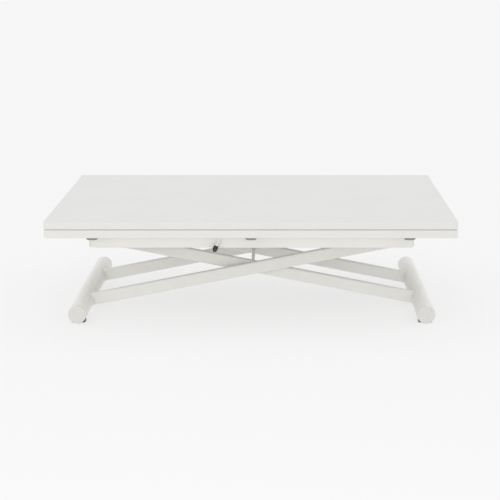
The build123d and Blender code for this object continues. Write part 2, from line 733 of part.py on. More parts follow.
lower_leaf = board(leaf_bottom, mating_up=True)
upper_leaf = board(seam_high, mating_up=False)
lower_plates = []
upper_plates = []
hinge_pins = []
lower_hinge_screws = []
upper_hinge_screws = []
for hinge_x in hinge_xs:
    place = Pos(hinge_x, 0, 0)
    lower_leaf -= place * knuckle_groove
    lower_leaf -= place * plate_pocket
    upper_leaf -= place * knuckle_groove
    upper_leaf -= mirror(place * plate_pocket, seam_plane)
    lower_plates.append(place * lower_plate)
    upper_plates.append(place * upper_plate)
    hinge_pins.append(place * hinge_pin)
    for screw_x in hinge_screw_xs:
        screw = Pos(hinge_x + screw_x, 0, 0) * hinge_screw
        lower_hinge_screws.append(screw)
        upper_hinge_screws.append(mirror(screw, seam_plane))
for screw in (*runner_screws, *lower_hinge_screws):
    lower_leaf -= screw
for screw in upper_hinge_screws:
    upper_leaf -= screw
nodes["lower_leaf"] = lower_leaf
nodes["upper_leaf"] = upper_leaf
nodes["lower_hinge_plates"] = Compound(children=lower_plates)
nodes["upper_hinge_plates"] = Compound(children=upper_plates)
nodes["hinge_pins"] = Compound(children=hinge_pins)
nodes["lower_hinge_screws"] = Compound(children=lower_hinge_screws)
nodes["upper_hinge_screws"] = Compound(children=upper_hinge_screws)

pad = Pos(leaf_length / 2 - pad_inset, -leaf_half_depth + pad_inset, seam_low + pad_thickness / 2)
right_pads = front_and_rear(pad * Cylinder(pad_radius, pad_thickness))
nodes["leaf_pads"] = Compound(children=[*right_pads, *(mirror(solid, Plane.YZ) for solid in right_pads)])

# ---------------------------------------------------------------- output

os.makedirs("parts", exist_ok=True)
for name, shape in nodes.items():
    export_step(shape, os.path.join("parts", f"{name}.step"))

print(f"{len(nodes)} nodes, top at {table_top:.2f}")
print(f"leg angle {leg_angle:.3f}, roller travel {roller_travel:.2f}")
print(f"pivots: crossing z {crossing_z:.3f}, upper x {pivot_half_span:.3f} z {roller_axle_z:.3f}")
print(f"lever axis x {lever_axis_x:.1f} z {lever_axis_z:.2f}")
print(f"hinge axis y {hinge_axis_y:.2f} z {hinge_axis_z:.2f}")
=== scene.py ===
"""Looks of a folding-top table on a scissor base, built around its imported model.

Everything is in metres with +Z up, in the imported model's own frame: the table stands on
z = 0, its length runs along X, and the height lever is on the -Y side.
"""

import json
import logging
import math
from collections.abc import Callable, Sequence
from dataclasses import dataclass, field
from enum import Enum
from typing import Any, Union

import bmesh
import bpy
from mathutils import Matrix, Vector

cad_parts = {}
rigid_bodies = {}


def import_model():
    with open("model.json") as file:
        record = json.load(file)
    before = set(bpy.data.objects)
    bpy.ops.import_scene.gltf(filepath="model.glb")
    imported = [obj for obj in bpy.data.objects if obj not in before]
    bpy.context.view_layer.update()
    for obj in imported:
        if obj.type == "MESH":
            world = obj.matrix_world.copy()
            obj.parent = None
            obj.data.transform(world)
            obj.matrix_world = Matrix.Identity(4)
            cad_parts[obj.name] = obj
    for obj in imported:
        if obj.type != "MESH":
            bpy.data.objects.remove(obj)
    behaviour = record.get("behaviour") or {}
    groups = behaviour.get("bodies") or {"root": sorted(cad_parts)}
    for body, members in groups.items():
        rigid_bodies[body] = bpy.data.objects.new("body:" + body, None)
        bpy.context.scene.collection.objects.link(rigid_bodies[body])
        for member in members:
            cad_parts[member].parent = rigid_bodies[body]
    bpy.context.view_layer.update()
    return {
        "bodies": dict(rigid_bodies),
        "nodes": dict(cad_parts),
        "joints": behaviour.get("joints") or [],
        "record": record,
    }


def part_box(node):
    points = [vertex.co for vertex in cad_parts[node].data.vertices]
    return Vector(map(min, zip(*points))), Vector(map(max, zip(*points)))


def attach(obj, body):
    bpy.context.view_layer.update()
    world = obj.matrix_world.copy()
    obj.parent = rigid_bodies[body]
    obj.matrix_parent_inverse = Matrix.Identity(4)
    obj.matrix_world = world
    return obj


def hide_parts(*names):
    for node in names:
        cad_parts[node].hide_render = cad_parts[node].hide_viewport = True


LOG = logging.getLogger("table")
MM = 0.001

Colour = tuple[float, float, float]
Point = tuple[float, float, float]
Ring = list[bmesh.types.BMVert]
Socket = bpy.types.NodeSocket
Feed = Union[Socket, float, tuple[float, ...]]

COAT_DUST: Colour = (0.66, 0.65, 0.62)
PLASTIC_DUST: Colour = (0.5, 0.49, 0.46)
DARK_DUST: Colour = (0.3, 0.29, 0.27)
WHITE: Colour = (1.0, 1.0, 1.0)


def shaded(colour: Colour, factor: float) -> Colour:
    """Returns a colour made darker or brighter by a factor, at most full."""
    return tuple(min(1.0, factor * part) for part in colour)


# ------------------------------------------------------------------ node graphs

class Graph:
    """A short way to add and join the nodes of one material or shader group."""

    def __init__(self, tree: bpy.types.NodeTree) -> None:
        """Takes the node tree to fill.

        Args:
            tree: a material's or a group's node tree.
        """
        self.tree = tree

    def add(
        self, kind: str, inputs: dict[int | str, Feed] | None = None, **settings: Any,
    ) -> bpy.types.Node:
        """Adds one node.

        Args:
            kind: the node's Blender type name.
            inputs: socket name or index to a value, or to the socket that feeds it.
            settings: attributes of the node itself, set first.

        Returns:
            The new node.
        """
        node = self.tree.nodes.new(kind)
        for name, value in settings.items():
            setattr(node, name, value)
        for key, value in (inputs or {}).items():
            if isinstance(value, Socket):
                self.tree.links.new(value, node.inputs[key])
            else:
                node.inputs[key].default_value = value
        return node

    def maths(self, operation: str, first: Feed, second: Feed = 0.0, clamp: bool = False) -> Socket:
        """Adds a Math node.

        Args:
            operation: the node's operation, such as "MULTIPLY".
            first: a number or a socket.
            second: a number or a socket.
            clamp: whether the result is kept between 0 and 1.

        Returns:
            The result's socket.
        """
        node = self.add("ShaderNodeMath", {0: first, 1: second}, operation=operation, use_clamp=clamp)
        return node.outputs[0]

    def spread(
        self, value: Feed, low: float, high: float, new_low: Feed = 0.0, new_high: Feed = 1.0,
    ) -> Socket:
        """Maps a value from one range to another and clamps it.

        Args:
            value: the socket to map.
            low: the start of its range.
            high: the end of its range.
            new_low: the result at low, a number or a socket.
            new_high: the result at high, a number or a socket.

        Returns:
            The result's socket.
        """
        feeds = {"Value": value, "From Min": low, "From Max": high, "To Min": new_low, "To Max": new_high}
        return self.add("ShaderNodeMapRange", feeds).outputs["Result"]

    def noise(self, vector: Socket, scale: Feed, detail: float = 2.0, roughness: float = 0.5) -> Socket:
        """Adds a Noise Texture.

        Args:
            vector: where it is sampled.
            scale: its scale, a number or a socket.
            detail: how many octaves it has.
            roughness: how strong the finer octaves are.

        Returns:
            The noise's value, about 0 to 1.
        """
        feeds = {"Vector": vector, "Scale": scale, "Detail": detail, "Roughness": roughness}
        return self.add("ShaderNodeTexNoise", feeds).outputs[0]

    def place(self) -> Socket:
        """Returns the surface point in the piece's own frame, in metres."""
        return self.add("ShaderNodeTexCoord").outputs["Object"]

    def blend(self, share: Feed, first: Feed, second: Feed) -> Socket:
        """Mixes two colours.

        Args:
            share: how much of the second one, a number or a socket.
            first: a colour or a socket.
            second: a colour or a socket.

        Returns:
            The mixed colour's socket.
        """
        node = self.add("ShaderNodeMix", {0: share}, data_type="RGBA", blend_type="MIX")
        for key, value in ((6, first), (7, second)):
            if isinstance(value, Socket):
                self.tree.links.new(value, node.inputs[key])
            else:
                node.inputs[key].default_value = (*value[:3], 1.0)
        return node.outputs[2]


class Effect(Enum):
    """The shader groups that several finishes share, by the name of each group."""

    ORANGE_PEEL = "orange_peel"
    EDGE_WEAR_AND_HIGHLIGHT = "edge_rub"
    ROUGH_CLOUDS = "rough_clouds"
    TONE_DRIFT = "tone_drift"
    DRAWN_LINES = "drawn_lines"
    MOULD_GRAIN = "mould_grain"
    SETTLED_DUST = "settled_dust"


@dataclass(frozen=True)
class Port:
    """One input of a shader group.

    Attributes:
        name: the socket's name.
        kind: "Float", "Color" or "Vector".
        value: its default value.
    """

    name: str
    kind: str
    value: float | tuple[float, ...]


class Effects:
    """Builds each shared shader group once and places it in materials."""

    def __init__(self) -> None:
        """Starts with no group built."""
        self.built: dict[Effect, bpy.types.NodeTree] = {}
        self.makers: dict[Effect, Callable[[], bpy.types.NodeTree]] = {
            Effect.ORANGE_PEEL: self.orange_peel,
            Effect.EDGE_WEAR_AND_HIGHLIGHT: self.edge_rub,
            Effect.ROUGH_CLOUDS: self.rough_clouds,
            Effect.TONE_DRIFT: self.tone_drift,
            Effect.DRAWN_LINES: self.drawn_lines,
            Effect.MOULD_GRAIN: self.mould_grain,
            Effect.SETTLED_DUST: self.settled_dust,
        }

    def use(self, graph: Graph, effect: Effect, **values: Feed) -> Socket:
        """Places a group in a material.

        Args:
            graph: the material's graph.
            effect: which group.
            values: the group's inputs by name, with _ for a space; numbers, colours or sockets.

        Returns:
            The group's only output.
        """
        if effect not in self.built:
            self.built[effect] = self.makers[effect]()
        node = graph.add("ShaderNodeGroup", node_tree=self.built[effect])
        for key, value in values.items():
            target = node.inputs[key.replace("_", " ")]
            if isinstance(value, Socket):
                graph.tree.links.new(value, target)
            elif target.type == "RGBA":
                target.default_value = (*value[:3], 1.0)
            else:
                target.default_value = value
        return node.outputs[0]

    @staticmethod
    def shell(
        effect: Effect, result: tuple[str, str], ports: Sequence[Port],
    ) -> tuple[Graph, bpy.types.Node, bpy.types.Node]:
        """Makes an empty group with its sockets.

        Args:
            effect: the group's name.
            result: the output's name and kind.
            ports: its inputs.

        Returns:
            The group's graph, its Group Input node and its Group Output node.
        """
        tree = bpy.data.node_groups.new(effect.value, "ShaderNodeTree")
        tree.interface.new_socket(result[0], in_out="OUTPUT", socket_type=f"NodeSocket{result[1]}")
        for port in ports:
            made = tree.interface.new_socket(port.name, in_out="INPUT", socket_type=f"NodeSocket{port.kind}")
            made.default_value = (*port.value, 1.0) if port.kind == "Color" else port.value
        graph = Graph(tree)
        return graph, graph.add("NodeGroupInput"), graph.add("NodeGroupOutput")

    def orange_peel(self) -> bpy.types.NodeTree:
        """The soft dimples of a sprayed or baked coat: inputs Cell and Fine, output Height.

        Returns:
            The group's node tree.
        """
        ports = (Port("Cell", "Float", 0.002), Port("Fine", "Float", 0.3))
        graph, given, result = self.shell(Effect.ORANGE_PEEL, ("Height", "Float"), ports)
        place = graph.place()
        scale = graph.maths("DIVIDE", 1.0, given.outputs["Cell"])
        broad = graph.noise(place, scale, detail=1.0, roughness=0.4)
        fine = graph.noise(place, graph.maths("MULTIPLY", scale, 3.7), detail=2.0, roughness=0.6)
        share = graph.maths("MULTIPLY", fine, given.outputs["Fine"])
        graph.tree.links.new(graph.maths("ADD", broad, share), result.inputs["Height"])
        return graph.tree

    def edge_rub(self) -> bpy.types.NodeTree:
        """The edges, in patches, for worn edges and for painted edge highlights: inputs Radius, Amount and
        Patches, output Mask.

        Returns:
            The group's node tree.
        """
        ports = (Port("Radius", "Float", 0.002), Port("Amount", "Float", 0.5), Port("Patches", "Float", 25.0))
        graph, given, result = self.shell(Effect.EDGE_WEAR_AND_HIGHLIGHT, ("Mask", "Float"), ports)
        rounded = graph.add("ShaderNodeBevel", {"Radius": given.outputs["Radius"]}, samples=6)
        true_normal = graph.add("ShaderNodeNewGeometry").outputs["Normal"]
        feeds = {0: rounded.outputs[0], 1: true_normal}
        agreement = graph.add("ShaderNodeVectorMath", feeds, operation="DOT_PRODUCT").outputs["Value"]
        corner = graph.spread(agreement, 0.995, 0.86)
        worn = graph.noise(graph.place(), given.outputs["Patches"], detail=4.0, roughness=0.6)
        mask = graph.maths("MULTIPLY", corner, graph.spread(worn, 0.38, 0.66))
        total = graph.maths("MULTIPLY", mask, given.outputs["Amount"], True)
        graph.tree.links.new(total, result.inputs["Mask"])
        return graph.tree

    def rough_clouds(self) -> bpy.types.NodeTree:
        """Roughness that wanders, with wipe marks: inputs Base, Spread and Size, output Roughness.

        Returns:
            The group's node tree.
        """
        ports = (Port("Base", "Float", 0.4), Port("Spread", "Float", 0.06), Port("Size", "Float", 0.12))
        graph, given, result = self.shell(Effect.ROUGH_CLOUDS, ("Roughness", "Float"), ports)
        place = graph.place()
        scale = graph.maths("DIVIDE", 1.0, given.outputs["Size"])
        clouds = graph.noise(place, scale, detail=3.0, roughness=0.55)
        feeds = {"Vector": place, "Rotation": (0.3, 0.2, 0.6), "Scale": (1, 9, 4)}
        bent = graph.add("ShaderNodeMapping", feeds)
        finer = graph.maths("MULTIPLY", scale, 2.2)
        wipes = graph.noise(bent.outputs[0], finer, detail=4.0, roughness=0.65)
        both = graph.maths("ADD", graph.maths("MULTIPLY", clouds, 0.65), graph.maths("MULTIPLY", wipes, 0.35))
        offset = graph.maths("MULTIPLY", graph.spread(both, 0.3, 0.7, -1.0, 1.0), given.outputs["Spread"])
        total = graph.maths("ADD", given.outputs["Base"], offset, True)
        graph.tree.links.new(total, result.inputs["Roughness"])
        return graph.tree

    def tone_drift(self) -> bpy.types.NodeTree:
        """A colour that drifts over the piece: inputs Colour, Shift, Depth and Size, output Colour.

        Returns:
            The group's node tree.
        """
        ports = (
            Port("Colour", "Color", (0.8, 0.8, 0.8)), Port("Shift", "Color", (0.7, 0.7, 0.68)),
            Port("Depth", "Float", 0.2), Port("Size", "Float", 0.2),
        )
        graph, given, result = self.shell(Effect.TONE_DRIFT, ("Colour", "Color"), ports)
        place = graph.place()
        scale = graph.maths("DIVIDE", 1.0, given.outputs["Size"])
        broad = graph.spread(graph.noise(place, scale, detail=3.0, roughness=0.5), 0.35, 0.68)
        finer = graph.maths("MULTIPLY", scale, 60.0)
        specks = graph.spread(graph.noise(place, finer, detail=2.0, roughness=0.6), 0.4, 0.7)
        fine = graph.maths("MULTIPLY", specks, 0.25)
        mixed = graph.maths("ADD", graph.maths("MULTIPLY", broad, 0.75), fine)
        share = graph.maths("MULTIPLY", mixed, given.outputs["Depth"], True)
        colour = graph.blend(share, given.outputs["Colour"], given.outputs["Shift"])
        graph.tree.links.new(colour, result.inputs["Colour"])
        return graph.tree

    def drawn_lines(self) -> bpy.types.NodeTree:
        """Fine lines left by a die, a brush or a saw: inputs Stretch and Fineness, output Lines.

        Returns:
            The group's node tree.
        """
        ports = (Port("Stretch", "Vector", (1.0, 60.0, 60.0)), Port("Fineness", "Float", 60.0))
        graph, given, result = self.shell(Effect.DRAWN_LINES, ("Lines", "Float"), ports)
        feeds = {0: graph.place(), 1: given.outputs["Stretch"]}
        pulled = graph.add("ShaderNodeVectorMath", feeds, operation="MULTIPLY").outputs[0]
        coarse = graph.noise(pulled, given.outputs["Fineness"], detail=2.0, roughness=0.5)
        finer = graph.maths("MULTIPLY", given.outputs["Fineness"], 4.3)
        fine = graph.noise(pulled, finer, detail=3.0, roughness=0.6)
        both = graph.maths("ADD", graph.maths("MULTIPLY", coarse, 0.55), graph.maths("MULTIPLY", fine, 0.45))
        graph.tree.links.new(graph.spread(both, 0.3, 0.7), result.inputs["Lines"])
        return graph.tree

    def mould_grain(self) -> bpy.types.NodeTree:
        """The sparked grain of a plastic mould: input Cell, output Height.

        Returns:
            The group's node tree.
        """
        ports = (Port("Cell", "Float", 0.0006),)
        graph, given, result = self.shell(Effect.MOULD_GRAIN, ("Height", "Float"), ports)
        place = graph.place()
        scale = graph.maths("DIVIDE", 1.0, given.outputs["Cell"])
        feeds = {"Vector": place, "Scale": scale, "Randomness": 1.0}
        cells = graph.add("ShaderNodeTexVoronoi", feeds, feature="SMOOTH_F1").outputs["Distance"]
        softer = graph.noise(place, graph.maths("MULTIPLY", scale, 0.45), detail=3.0, roughness=0.6)
        graph.tree.links.new(graph.maths("MULTIPLY", cells, softer), result.inputs["Height"])
        return graph.tree

    def settled_dust(self) -> bpy.types.NodeTree:
        """Fine dust on faces that look up: inputs Amount and Size, output Mask.

        Returns:
            The group's node tree.
        """
        ports = (Port("Amount", "Float", 0.2), Port("Size", "Float", 0.02))
        graph, given, result = self.shell(Effect.SETTLED_DUST, ("Mask", "Float"), ports)
        normal = graph.add("ShaderNodeNewGeometry").outputs["Normal"]
        upward = graph.spread(graph.add("ShaderNodeSeparateXYZ", {0: normal}).outputs["Z"], 0.2, 0.95)
        scale = graph.maths("DIVIDE", 1.0, given.outputs["Size"])
        specks = graph.spread(graph.noise(graph.place(), scale, detail=6.0, roughness=0.7), 0.42, 0.72)
        mask = graph.maths("MULTIPLY", upward, specks)
        total = graph.maths("MULTIPLY", mask, given.outputs["Amount"], True)
        graph.tree.links.new(total, result.inputs["Mask"])
        return graph.tree


# ------------------------------------------------------------------ finishes

@dataclass(frozen=True)
class Finish:
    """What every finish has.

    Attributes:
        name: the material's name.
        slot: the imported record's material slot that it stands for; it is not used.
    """

    name: str
    slot: str

    def build(self, effects: Effects) -> bpy.types.Material:
        """Makes the material.

        Args:
            effects: the shared shader groups.

        Returns:
            The finished material.
        """
        material = bpy.data.materials.new(self.name)
        material.use_nodes = True
        material.node_tree.nodes.clear()
        graph = Graph(material.node_tree)
        shader = graph.add("ShaderNodeBsdfPrincipled")
        graph.add("ShaderNodeOutputMaterial", {"Surface": shader.outputs[0]})
        self.fill(graph, shader, effects)
        return material

    def fill(self, graph: Graph, shader: bpy.types.Node, effects: Effects) -> None:
        """Sets the shader up; each finish has its own way.

        Args:
            graph: the material's graph.
            shader: the shader to set up.
            effects: the shared shader groups.
        """
        raise NotImplementedError

    @staticmethod
    def feed(graph: Graph, shader: bpy.types.Node, name: str, value: Feed) -> None:
        """Sets or links one input of the shader.

        Args:
            graph: the material's graph.
            shader: the shader.
            name: the input's name.
            value: a socket, a colour or a number.
        """
        if isinstance(value, Socket):
            graph.tree.links.new(value, shader.inputs[name])
        elif isinstance(value, tuple):
            shader.inputs[name].default_value = (*value, 1.0)
        else:
            shader.inputs[name].default_value = value

    def bump(self, graph: Graph, shader: bpy.types.Node, height: Socket, depth: float) -> None:
        """Adds a Bump node.

        Args:
            graph: the material's graph.
            shader: the shader whose Normal it feeds.
            height: the height, about 0 to 1.
            depth: the depth of that height in metres.
        """
        node = graph.add("ShaderNodeBump", {"Height": height, "Distance": depth, "Strength": 1.0})
        self.feed(graph, shader, "Normal", node.outputs[0])


@dataclass(frozen=True)
class Laminate(Finish):
    """White melamine on board, with an edge band round the sides.

    Attributes:
        face: the faces' colour.
        underside_tone: the colour of the underside; where it is lighter than the faces, it is painted light
            that throws more light into the shade under the table.
        band: the edge band's colour.
        worn_edge_highlight: the lighter colour on the edges, a painted highlight laid in patches of wear.
        roughness: the sheen of the faces.
        gloss_index: the refractive index of its skin.
        print_depth: the depth of the print texture in metres.
    """

    face: Colour = (0.65, 0.648, 0.633)
    underside_tone: Colour = (0.65, 0.648, 0.633)
    band: Colour = (0.705, 0.698, 0.68)
    worn_edge_highlight: Colour = (0.78, 0.775, 0.76)
    roughness: float = 0.40
    gloss_index: float = 1.44
    print_depth: float = 0.00003

    def fill(self, graph: Graph, shader: bpy.types.Node, effects: Effects) -> None:
        """Faces with a fine print texture, and sides with the band's faint saw lines.

        Args:
            graph: the material's graph.
            shader: the shader to set up.
            effects: the shared shader groups.
        """
        normal = graph.add("ShaderNodeNewGeometry").outputs["Normal"]
        upright = graph.add("ShaderNodeSeparateXYZ", {0: normal}).outputs["Z"]
        side = graph.spread(graph.maths("ABSOLUTE", upright), 0.75, 0.35)
        darker = shaded(self.face, 0.955)
        face = effects.use(graph, Effect.TONE_DRIFT, Colour=self.face, Shift=darker, Depth=0.35, Size=0.35)
        # Downward faces get the underside's colour; on the lower leaf it is painted lighter than the
        # laminate, so that it throws more light onto the frame in the shade below.
        below = graph.spread(upright, -0.4, -0.8)
        face = graph.blend(below, face, self.underside_tone)
        band_dark = shaded(self.band, 0.965)
        band = effects.use(graph, Effect.TONE_DRIFT, Colour=self.band, Shift=band_dark, Depth=0.4, Size=0.12)
        # The edges get a lighter colour in patches: a painted highlight, with real polish from wear in the
        # roughness below.
        edge_mask = effects.use(graph, Effect.EDGE_WEAR_AND_HIGHLIGHT, Radius=0.0015, Amount=0.25, Patches=14.0)
        colour = graph.blend(edge_mask, graph.blend(side, face, band), self.worn_edge_highlight)
        self.feed(graph, shader, "Base Color", colour)
        clouds = effects.use(graph, Effect.ROUGH_CLOUDS, Base=self.roughness, Spread=0.05, Size=0.18)
        polish = graph.maths("MULTIPLY", edge_mask, 0.1)
        self.feed(graph, shader, "Roughness", graph.maths("SUBTRACT", clouds, polish))
        shader.inputs["IOR"].default_value = self.gloss_index
        print_grain = effects.use(graph, Effect.ORANGE_PEEL, Cell=0.0009, Fine=0.6)
        chatter = effects.use(graph, Effect.DRAWN_LINES, Stretch=(30.0, 30.0, 1.0), Fineness=22.0)
        share = graph.maths("MULTIPLY", chatter, side)
        self.bump(graph, shader, graph.maths("ADD", print_grain, share), self.print_depth)


@dataclass(frozen=True)
class PowderCoat(Finish):
    """Baked powder coat on steel.

    Attributes:
        colour: the coat's colour.
        roughness: its sheen.
        cell: the size of the dimples in metres.
        peel_depth: their depth in metres.
        worn_edge_highlight: the colour of the rubbed edges.
        gloss_index: the coat's refractive index.
    """

    colour: Colour = (0.742, 0.734, 0.695)
    roughness: float = 0.42
    cell: float = 0.0022
    peel_depth: float = 0.00011
    # worn_edge_highlight: the lighter colour on the edges, a painted highlight laid in patches of wear.
    worn_edge_highlight: Colour = (0.82, 0.815, 0.785)
    gloss_index: float = 1.5

    def fill(self, graph: Graph, shader: bpy.types.Node, effects: Effects) -> None:
        """Orange peel, drifting sheen, lighter edges in patches and a trace of dust; the lighter edges are a
        painted highlight.

        Args:
            graph: the material's graph.
            shader: the shader to set up.
            effects: the shared shader groups.
        """
        darker = shaded(self.colour, 0.94)
        coat = effects.use(graph, Effect.TONE_DRIFT, Colour=self.colour, Shift=darker, Depth=0.4, Size=0.16)
        # The edges get a lighter colour in patches: a painted highlight laid in the patches of wear.
        edge_mask = effects.use(graph, Effect.EDGE_WEAR_AND_HIGHLIGHT, Radius=0.0018, Amount=0.45, Patches=22.0)
        dust = effects.use(graph, Effect.SETTLED_DUST, Amount=0.12, Size=0.03)
        colour = graph.blend(dust, graph.blend(edge_mask, coat, self.worn_edge_highlight), COAT_DUST)
        self.feed(graph, shader, "Base Color", colour)
        clouds = effects.use(graph, Effect.ROUGH_CLOUDS, Base=self.roughness, Spread=0.07, Size=0.09)
        dusty = graph.maths("ADD", clouds, graph.maths("MULTIPLY", dust, 0.5), True)
        self.feed(graph, shader, "Roughness", dusty)
        shader.inputs["IOR"].default_value = self.gloss_index
        peel = effects.use(graph, Effect.ORANGE_PEEL, Cell=self.cell, Fine=0.3)
        self.bump(graph, shader, peel, self.peel_depth)


@dataclass(frozen=True)
class MouldedPlastic(Finish):
    """Moulded plastic or rubber with a sparked grain.

    Attributes:
        colour: its colour.
        scuffed: its colour where it is worn.
        roughness: its sheen.
        grain: the size of the grain in metres.
        depth: the depth of the grain in metres.
        dust: how much dust lies on it.
        gloss_index: the plastic's refractive index.
    """

    colour: Colour = (0.7, 0.7, 0.68)
    scuffed: Colour = (0.75, 0.75, 0.73)
    roughness: float = 0.45
    grain: float = 0.0007
    depth: float = 0.00004
    dust: float = 0.1
    gloss_index: float = 1.49

    def fill(self, graph: Graph, shader: bpy.types.Node, effects: Effects) -> None:
        """Grain, scuffed edges, drifting sheen and dust.

        Args:
            graph: the material's graph.
            shader: the shader to set up.
            effects: the shared shader groups.
        """
        darker = shaded(self.colour, 0.88)
        body = effects.use(graph, Effect.TONE_DRIFT, Colour=self.colour, Shift=darker, Depth=0.45, Size=0.03)
        edge_mask = effects.use(graph, Effect.EDGE_WEAR_AND_HIGHLIGHT, Radius=0.0009, Amount=0.6, Patches=60.0)
        dust = effects.use(graph, Effect.SETTLED_DUST, Amount=self.dust, Size=0.008)
        colour = graph.blend(dust, graph.blend(edge_mask, body, self.scuffed), PLASTIC_DUST)
        self.feed(graph, shader, "Base Color", colour)
        clouds = effects.use(graph, Effect.ROUGH_CLOUDS, Base=self.roughness, Spread=0.08, Size=0.025)
        polish = graph.maths("MULTIPLY", edge_mask, 0.12)
        self.feed(graph, shader, "Roughness", graph.maths("SUBTRACT", clouds, polish))
        shader.inputs["IOR"].default_value = self.gloss_index
        grain = effects.use(graph, Effect.MOULD_GRAIN, Cell=self.grain)
        self.bump(graph, shader, grain, self.depth)


class Run(Enum):
    """The way that the lines run on a drawn or extruded piece."""

    ALONG_X = (1.0, 55.0, 55.0)
    ALONG_Y = (55.0, 1.0, 55.0)


@dataclass(frozen=True)
class DrawnMetal(Finish):
    """Bare metal with the lines of the die, the lathe or the brush.

    Attributes:
        colour: the metal's colour.
        tarnish: its colour where it is dull.
        roughness: its sheen.
        run: the way that the lines run.
        depth: the depth of the lines in metres.
    """

    colour: Colour = (0.62, 0.62, 0.6)
    tarnish: Colour = (0.42, 0.41, 0.38)
    roughness: float = 0.3
    run: Run = Run.ALONG_Y
    depth: float = 0.00002

    def fill(self, graph: Graph, shader: bpy.types.Node, effects: Effects) -> None:
        """Lines in the sheen and the surface, with duller patches and bright edges.

        Args:
            graph: the material's graph.
            shader: the shader to set up.
            effects: the shared shader groups.
        """
        lines = effects.use(graph, Effect.DRAWN_LINES, Stretch=self.run.value, Fineness=9.0)
        metal = effects.use(
            graph, Effect.TONE_DRIFT, Colour=self.colour, Shift=self.tarnish, Depth=0.5, Size=0.02,
        )
        edge_mask = effects.use(graph, Effect.EDGE_WEAR_AND_HIGHLIGHT, Radius=0.0007, Amount=0.7, Patches=70.0)
        self.feed(graph, shader, "Base Color", graph.blend(edge_mask, metal, shaded(self.colour, 1.25)))
        shader.inputs["Metallic"].default_value = 1.0
        clouds = effects.use(graph, Effect.ROUGH_CLOUDS, Base=self.roughness, Spread=0.07, Size=0.02)
        lined = graph.maths("ADD", clouds, graph.maths("MULTIPLY", lines, 0.12), True)
        self.feed(graph, shader, "Roughness", lined)
        self.bump(graph, shader, lines, self.depth)


@dataclass(frozen=True)
class GlossPaint(Finish):
    """Hard gloss paint with a clear top layer.

    Attributes:
        colour: the paint's colour.
        chipped: the colour of the chipped edges.
        roughness: the sheen of the layer below the clear one.
        clear_share: how much of a clear layer there is.
        clear_roughness: the clear layer's sheen.
        peel_depth: the depth of the dimples in metres.
    """

    colour: Colour = (0.018, 0.018, 0.02)
    chipped: Colour = (0.2, 0.2, 0.2)
    roughness: float = 0.32
    clear_share: float = 0.6
    clear_roughness: float = 0.12
    peel_depth: float = 0.00002

    def fill(self, graph: Graph, shader: bpy.types.Node, effects: Effects) -> None:
        """A deep colour under a clear layer, with light orange peel and chipped edges.

        Args:
            graph: the material's graph.
            shader: the shader to set up.
            effects: the shared shader groups.
        """
        lighter = shaded(self.colour, 2.2)
        paint = effects.use(graph, Effect.TONE_DRIFT, Colour=self.colour, Shift=lighter, Depth=0.4, Size=0.04)
        edge_mask = effects.use(graph, Effect.EDGE_WEAR_AND_HIGHLIGHT, Radius=0.0008, Amount=0.5, Patches=80.0)
        dust = effects.use(graph, Effect.SETTLED_DUST, Amount=0.18, Size=0.01)
        colour = graph.blend(dust, graph.blend(edge_mask, paint, self.chipped), DARK_DUST)
        self.feed(graph, shader, "Base Color", colour)
        clouds = effects.use(graph, Effect.ROUGH_CLOUDS, Base=self.roughness, Spread=0.06, Size=0.03)
        self.feed(graph, shader, "Roughness", clouds)
        shader.inputs["Coat Weight"].default_value = self.clear_share
        shader.inputs["Coat Roughness"].default_value = self.clear_roughness
        peel = effects.use(graph, Effect.ORANGE_PEEL, Cell=0.0016, Fine=0.25)
        self.bump(graph, shader, peel, self.peel_depth)


class Finishes:
    """Every material of the table, built on first use."""

    def __init__(self, effects: Effects) -> None:
        """Takes the shared shader groups.

        Args:
            effects: the groups.
        """
        self.effects = effects
        self.made: dict[str, bpy.types.Material] = {}

    def get(self, finish: Finish) -> bpy.types.Material:
        """Finds a finish's material, and makes it if it is new.

        Args:
            finish: the finish.

        Returns:
            Its material.
        """
        if finish.name not in self.made:
            self.made[finish.name] = finish.build(self.effects)
        return self.made[finish.name]


LAMINATE = Laminate("white_laminate", "leaf_laminate")
# Painted light: the lower leaf's underside is lighter than its faces, so that it throws more light into the
# shade under the table.
LAMINATE_WITH_LIGHTENED_UNDERSIDE = Laminate("white_laminate_with_backing", "leaf_laminate", underside_tone=(0.86, 0.858, 0.84))
FRAME_COAT = PowderCoat("white_powder_coat", "frame_paint")
# Painted light: a lighter copy of the white powder coat for the rails and the foot tubes, to lift the shade
# that falls on them under the top's overhang and on the tubes' sides.
COAT_LIGHTENED_FOR_SHADE = PowderCoat(
    "white_powder_coat_on_rails", "frame_paint", colour=(0.80, 0.79, 0.755), worn_edge_highlight=(0.84, 0.835, 0.81),
)
WELD_COAT = PowderCoat("white_coat_on_welds", "frame_paint", cell=0.0011, roughness=0.48)
CAP_PLASTIC = MouldedPlastic("white_cap_plastic", "cap_plastic", colour=(0.655, 0.65, 0.625), dust=0.05)
# Painted light: a lighter copy of the cap plastic for the rail ends, which stand in the shade under the top's
# overhang.
CAP_PLASTIC_LIGHTENED_FOR_SHADE = MouldedPlastic("white_rail_cap", "cap_plastic", colour=(0.76, 0.755, 0.725), dust=0.05)
SHOE_PLASTIC = MouldedPlastic(
    "dark_shoe_plastic", "shoe_plastic", colour=(0.06, 0.06, 0.055), scuffed=(0.2, 0.2, 0.19),
    roughness=0.55, grain=0.0009, depth=0.00008, dust=0.25,
)
GUIDE_CAP_PLASTIC = MouldedPlastic(
    "grey_guide_cap", "guide_cap_plastic", colour=(0.24, 0.24, 0.225), scuffed=(0.34, 0.34, 0.32),
    roughness=0.5,
)
GUIDE_METAL = DrawnMetal("extruded_guide", "guide_aluminium", colour=(0.66, 0.66, 0.64), roughness=0.34)
ZINC = DrawnMetal("bright_zinc", "zinc_steel", colour=(0.6, 0.61, 0.6), tarnish=(0.44, 0.43, 0.38))
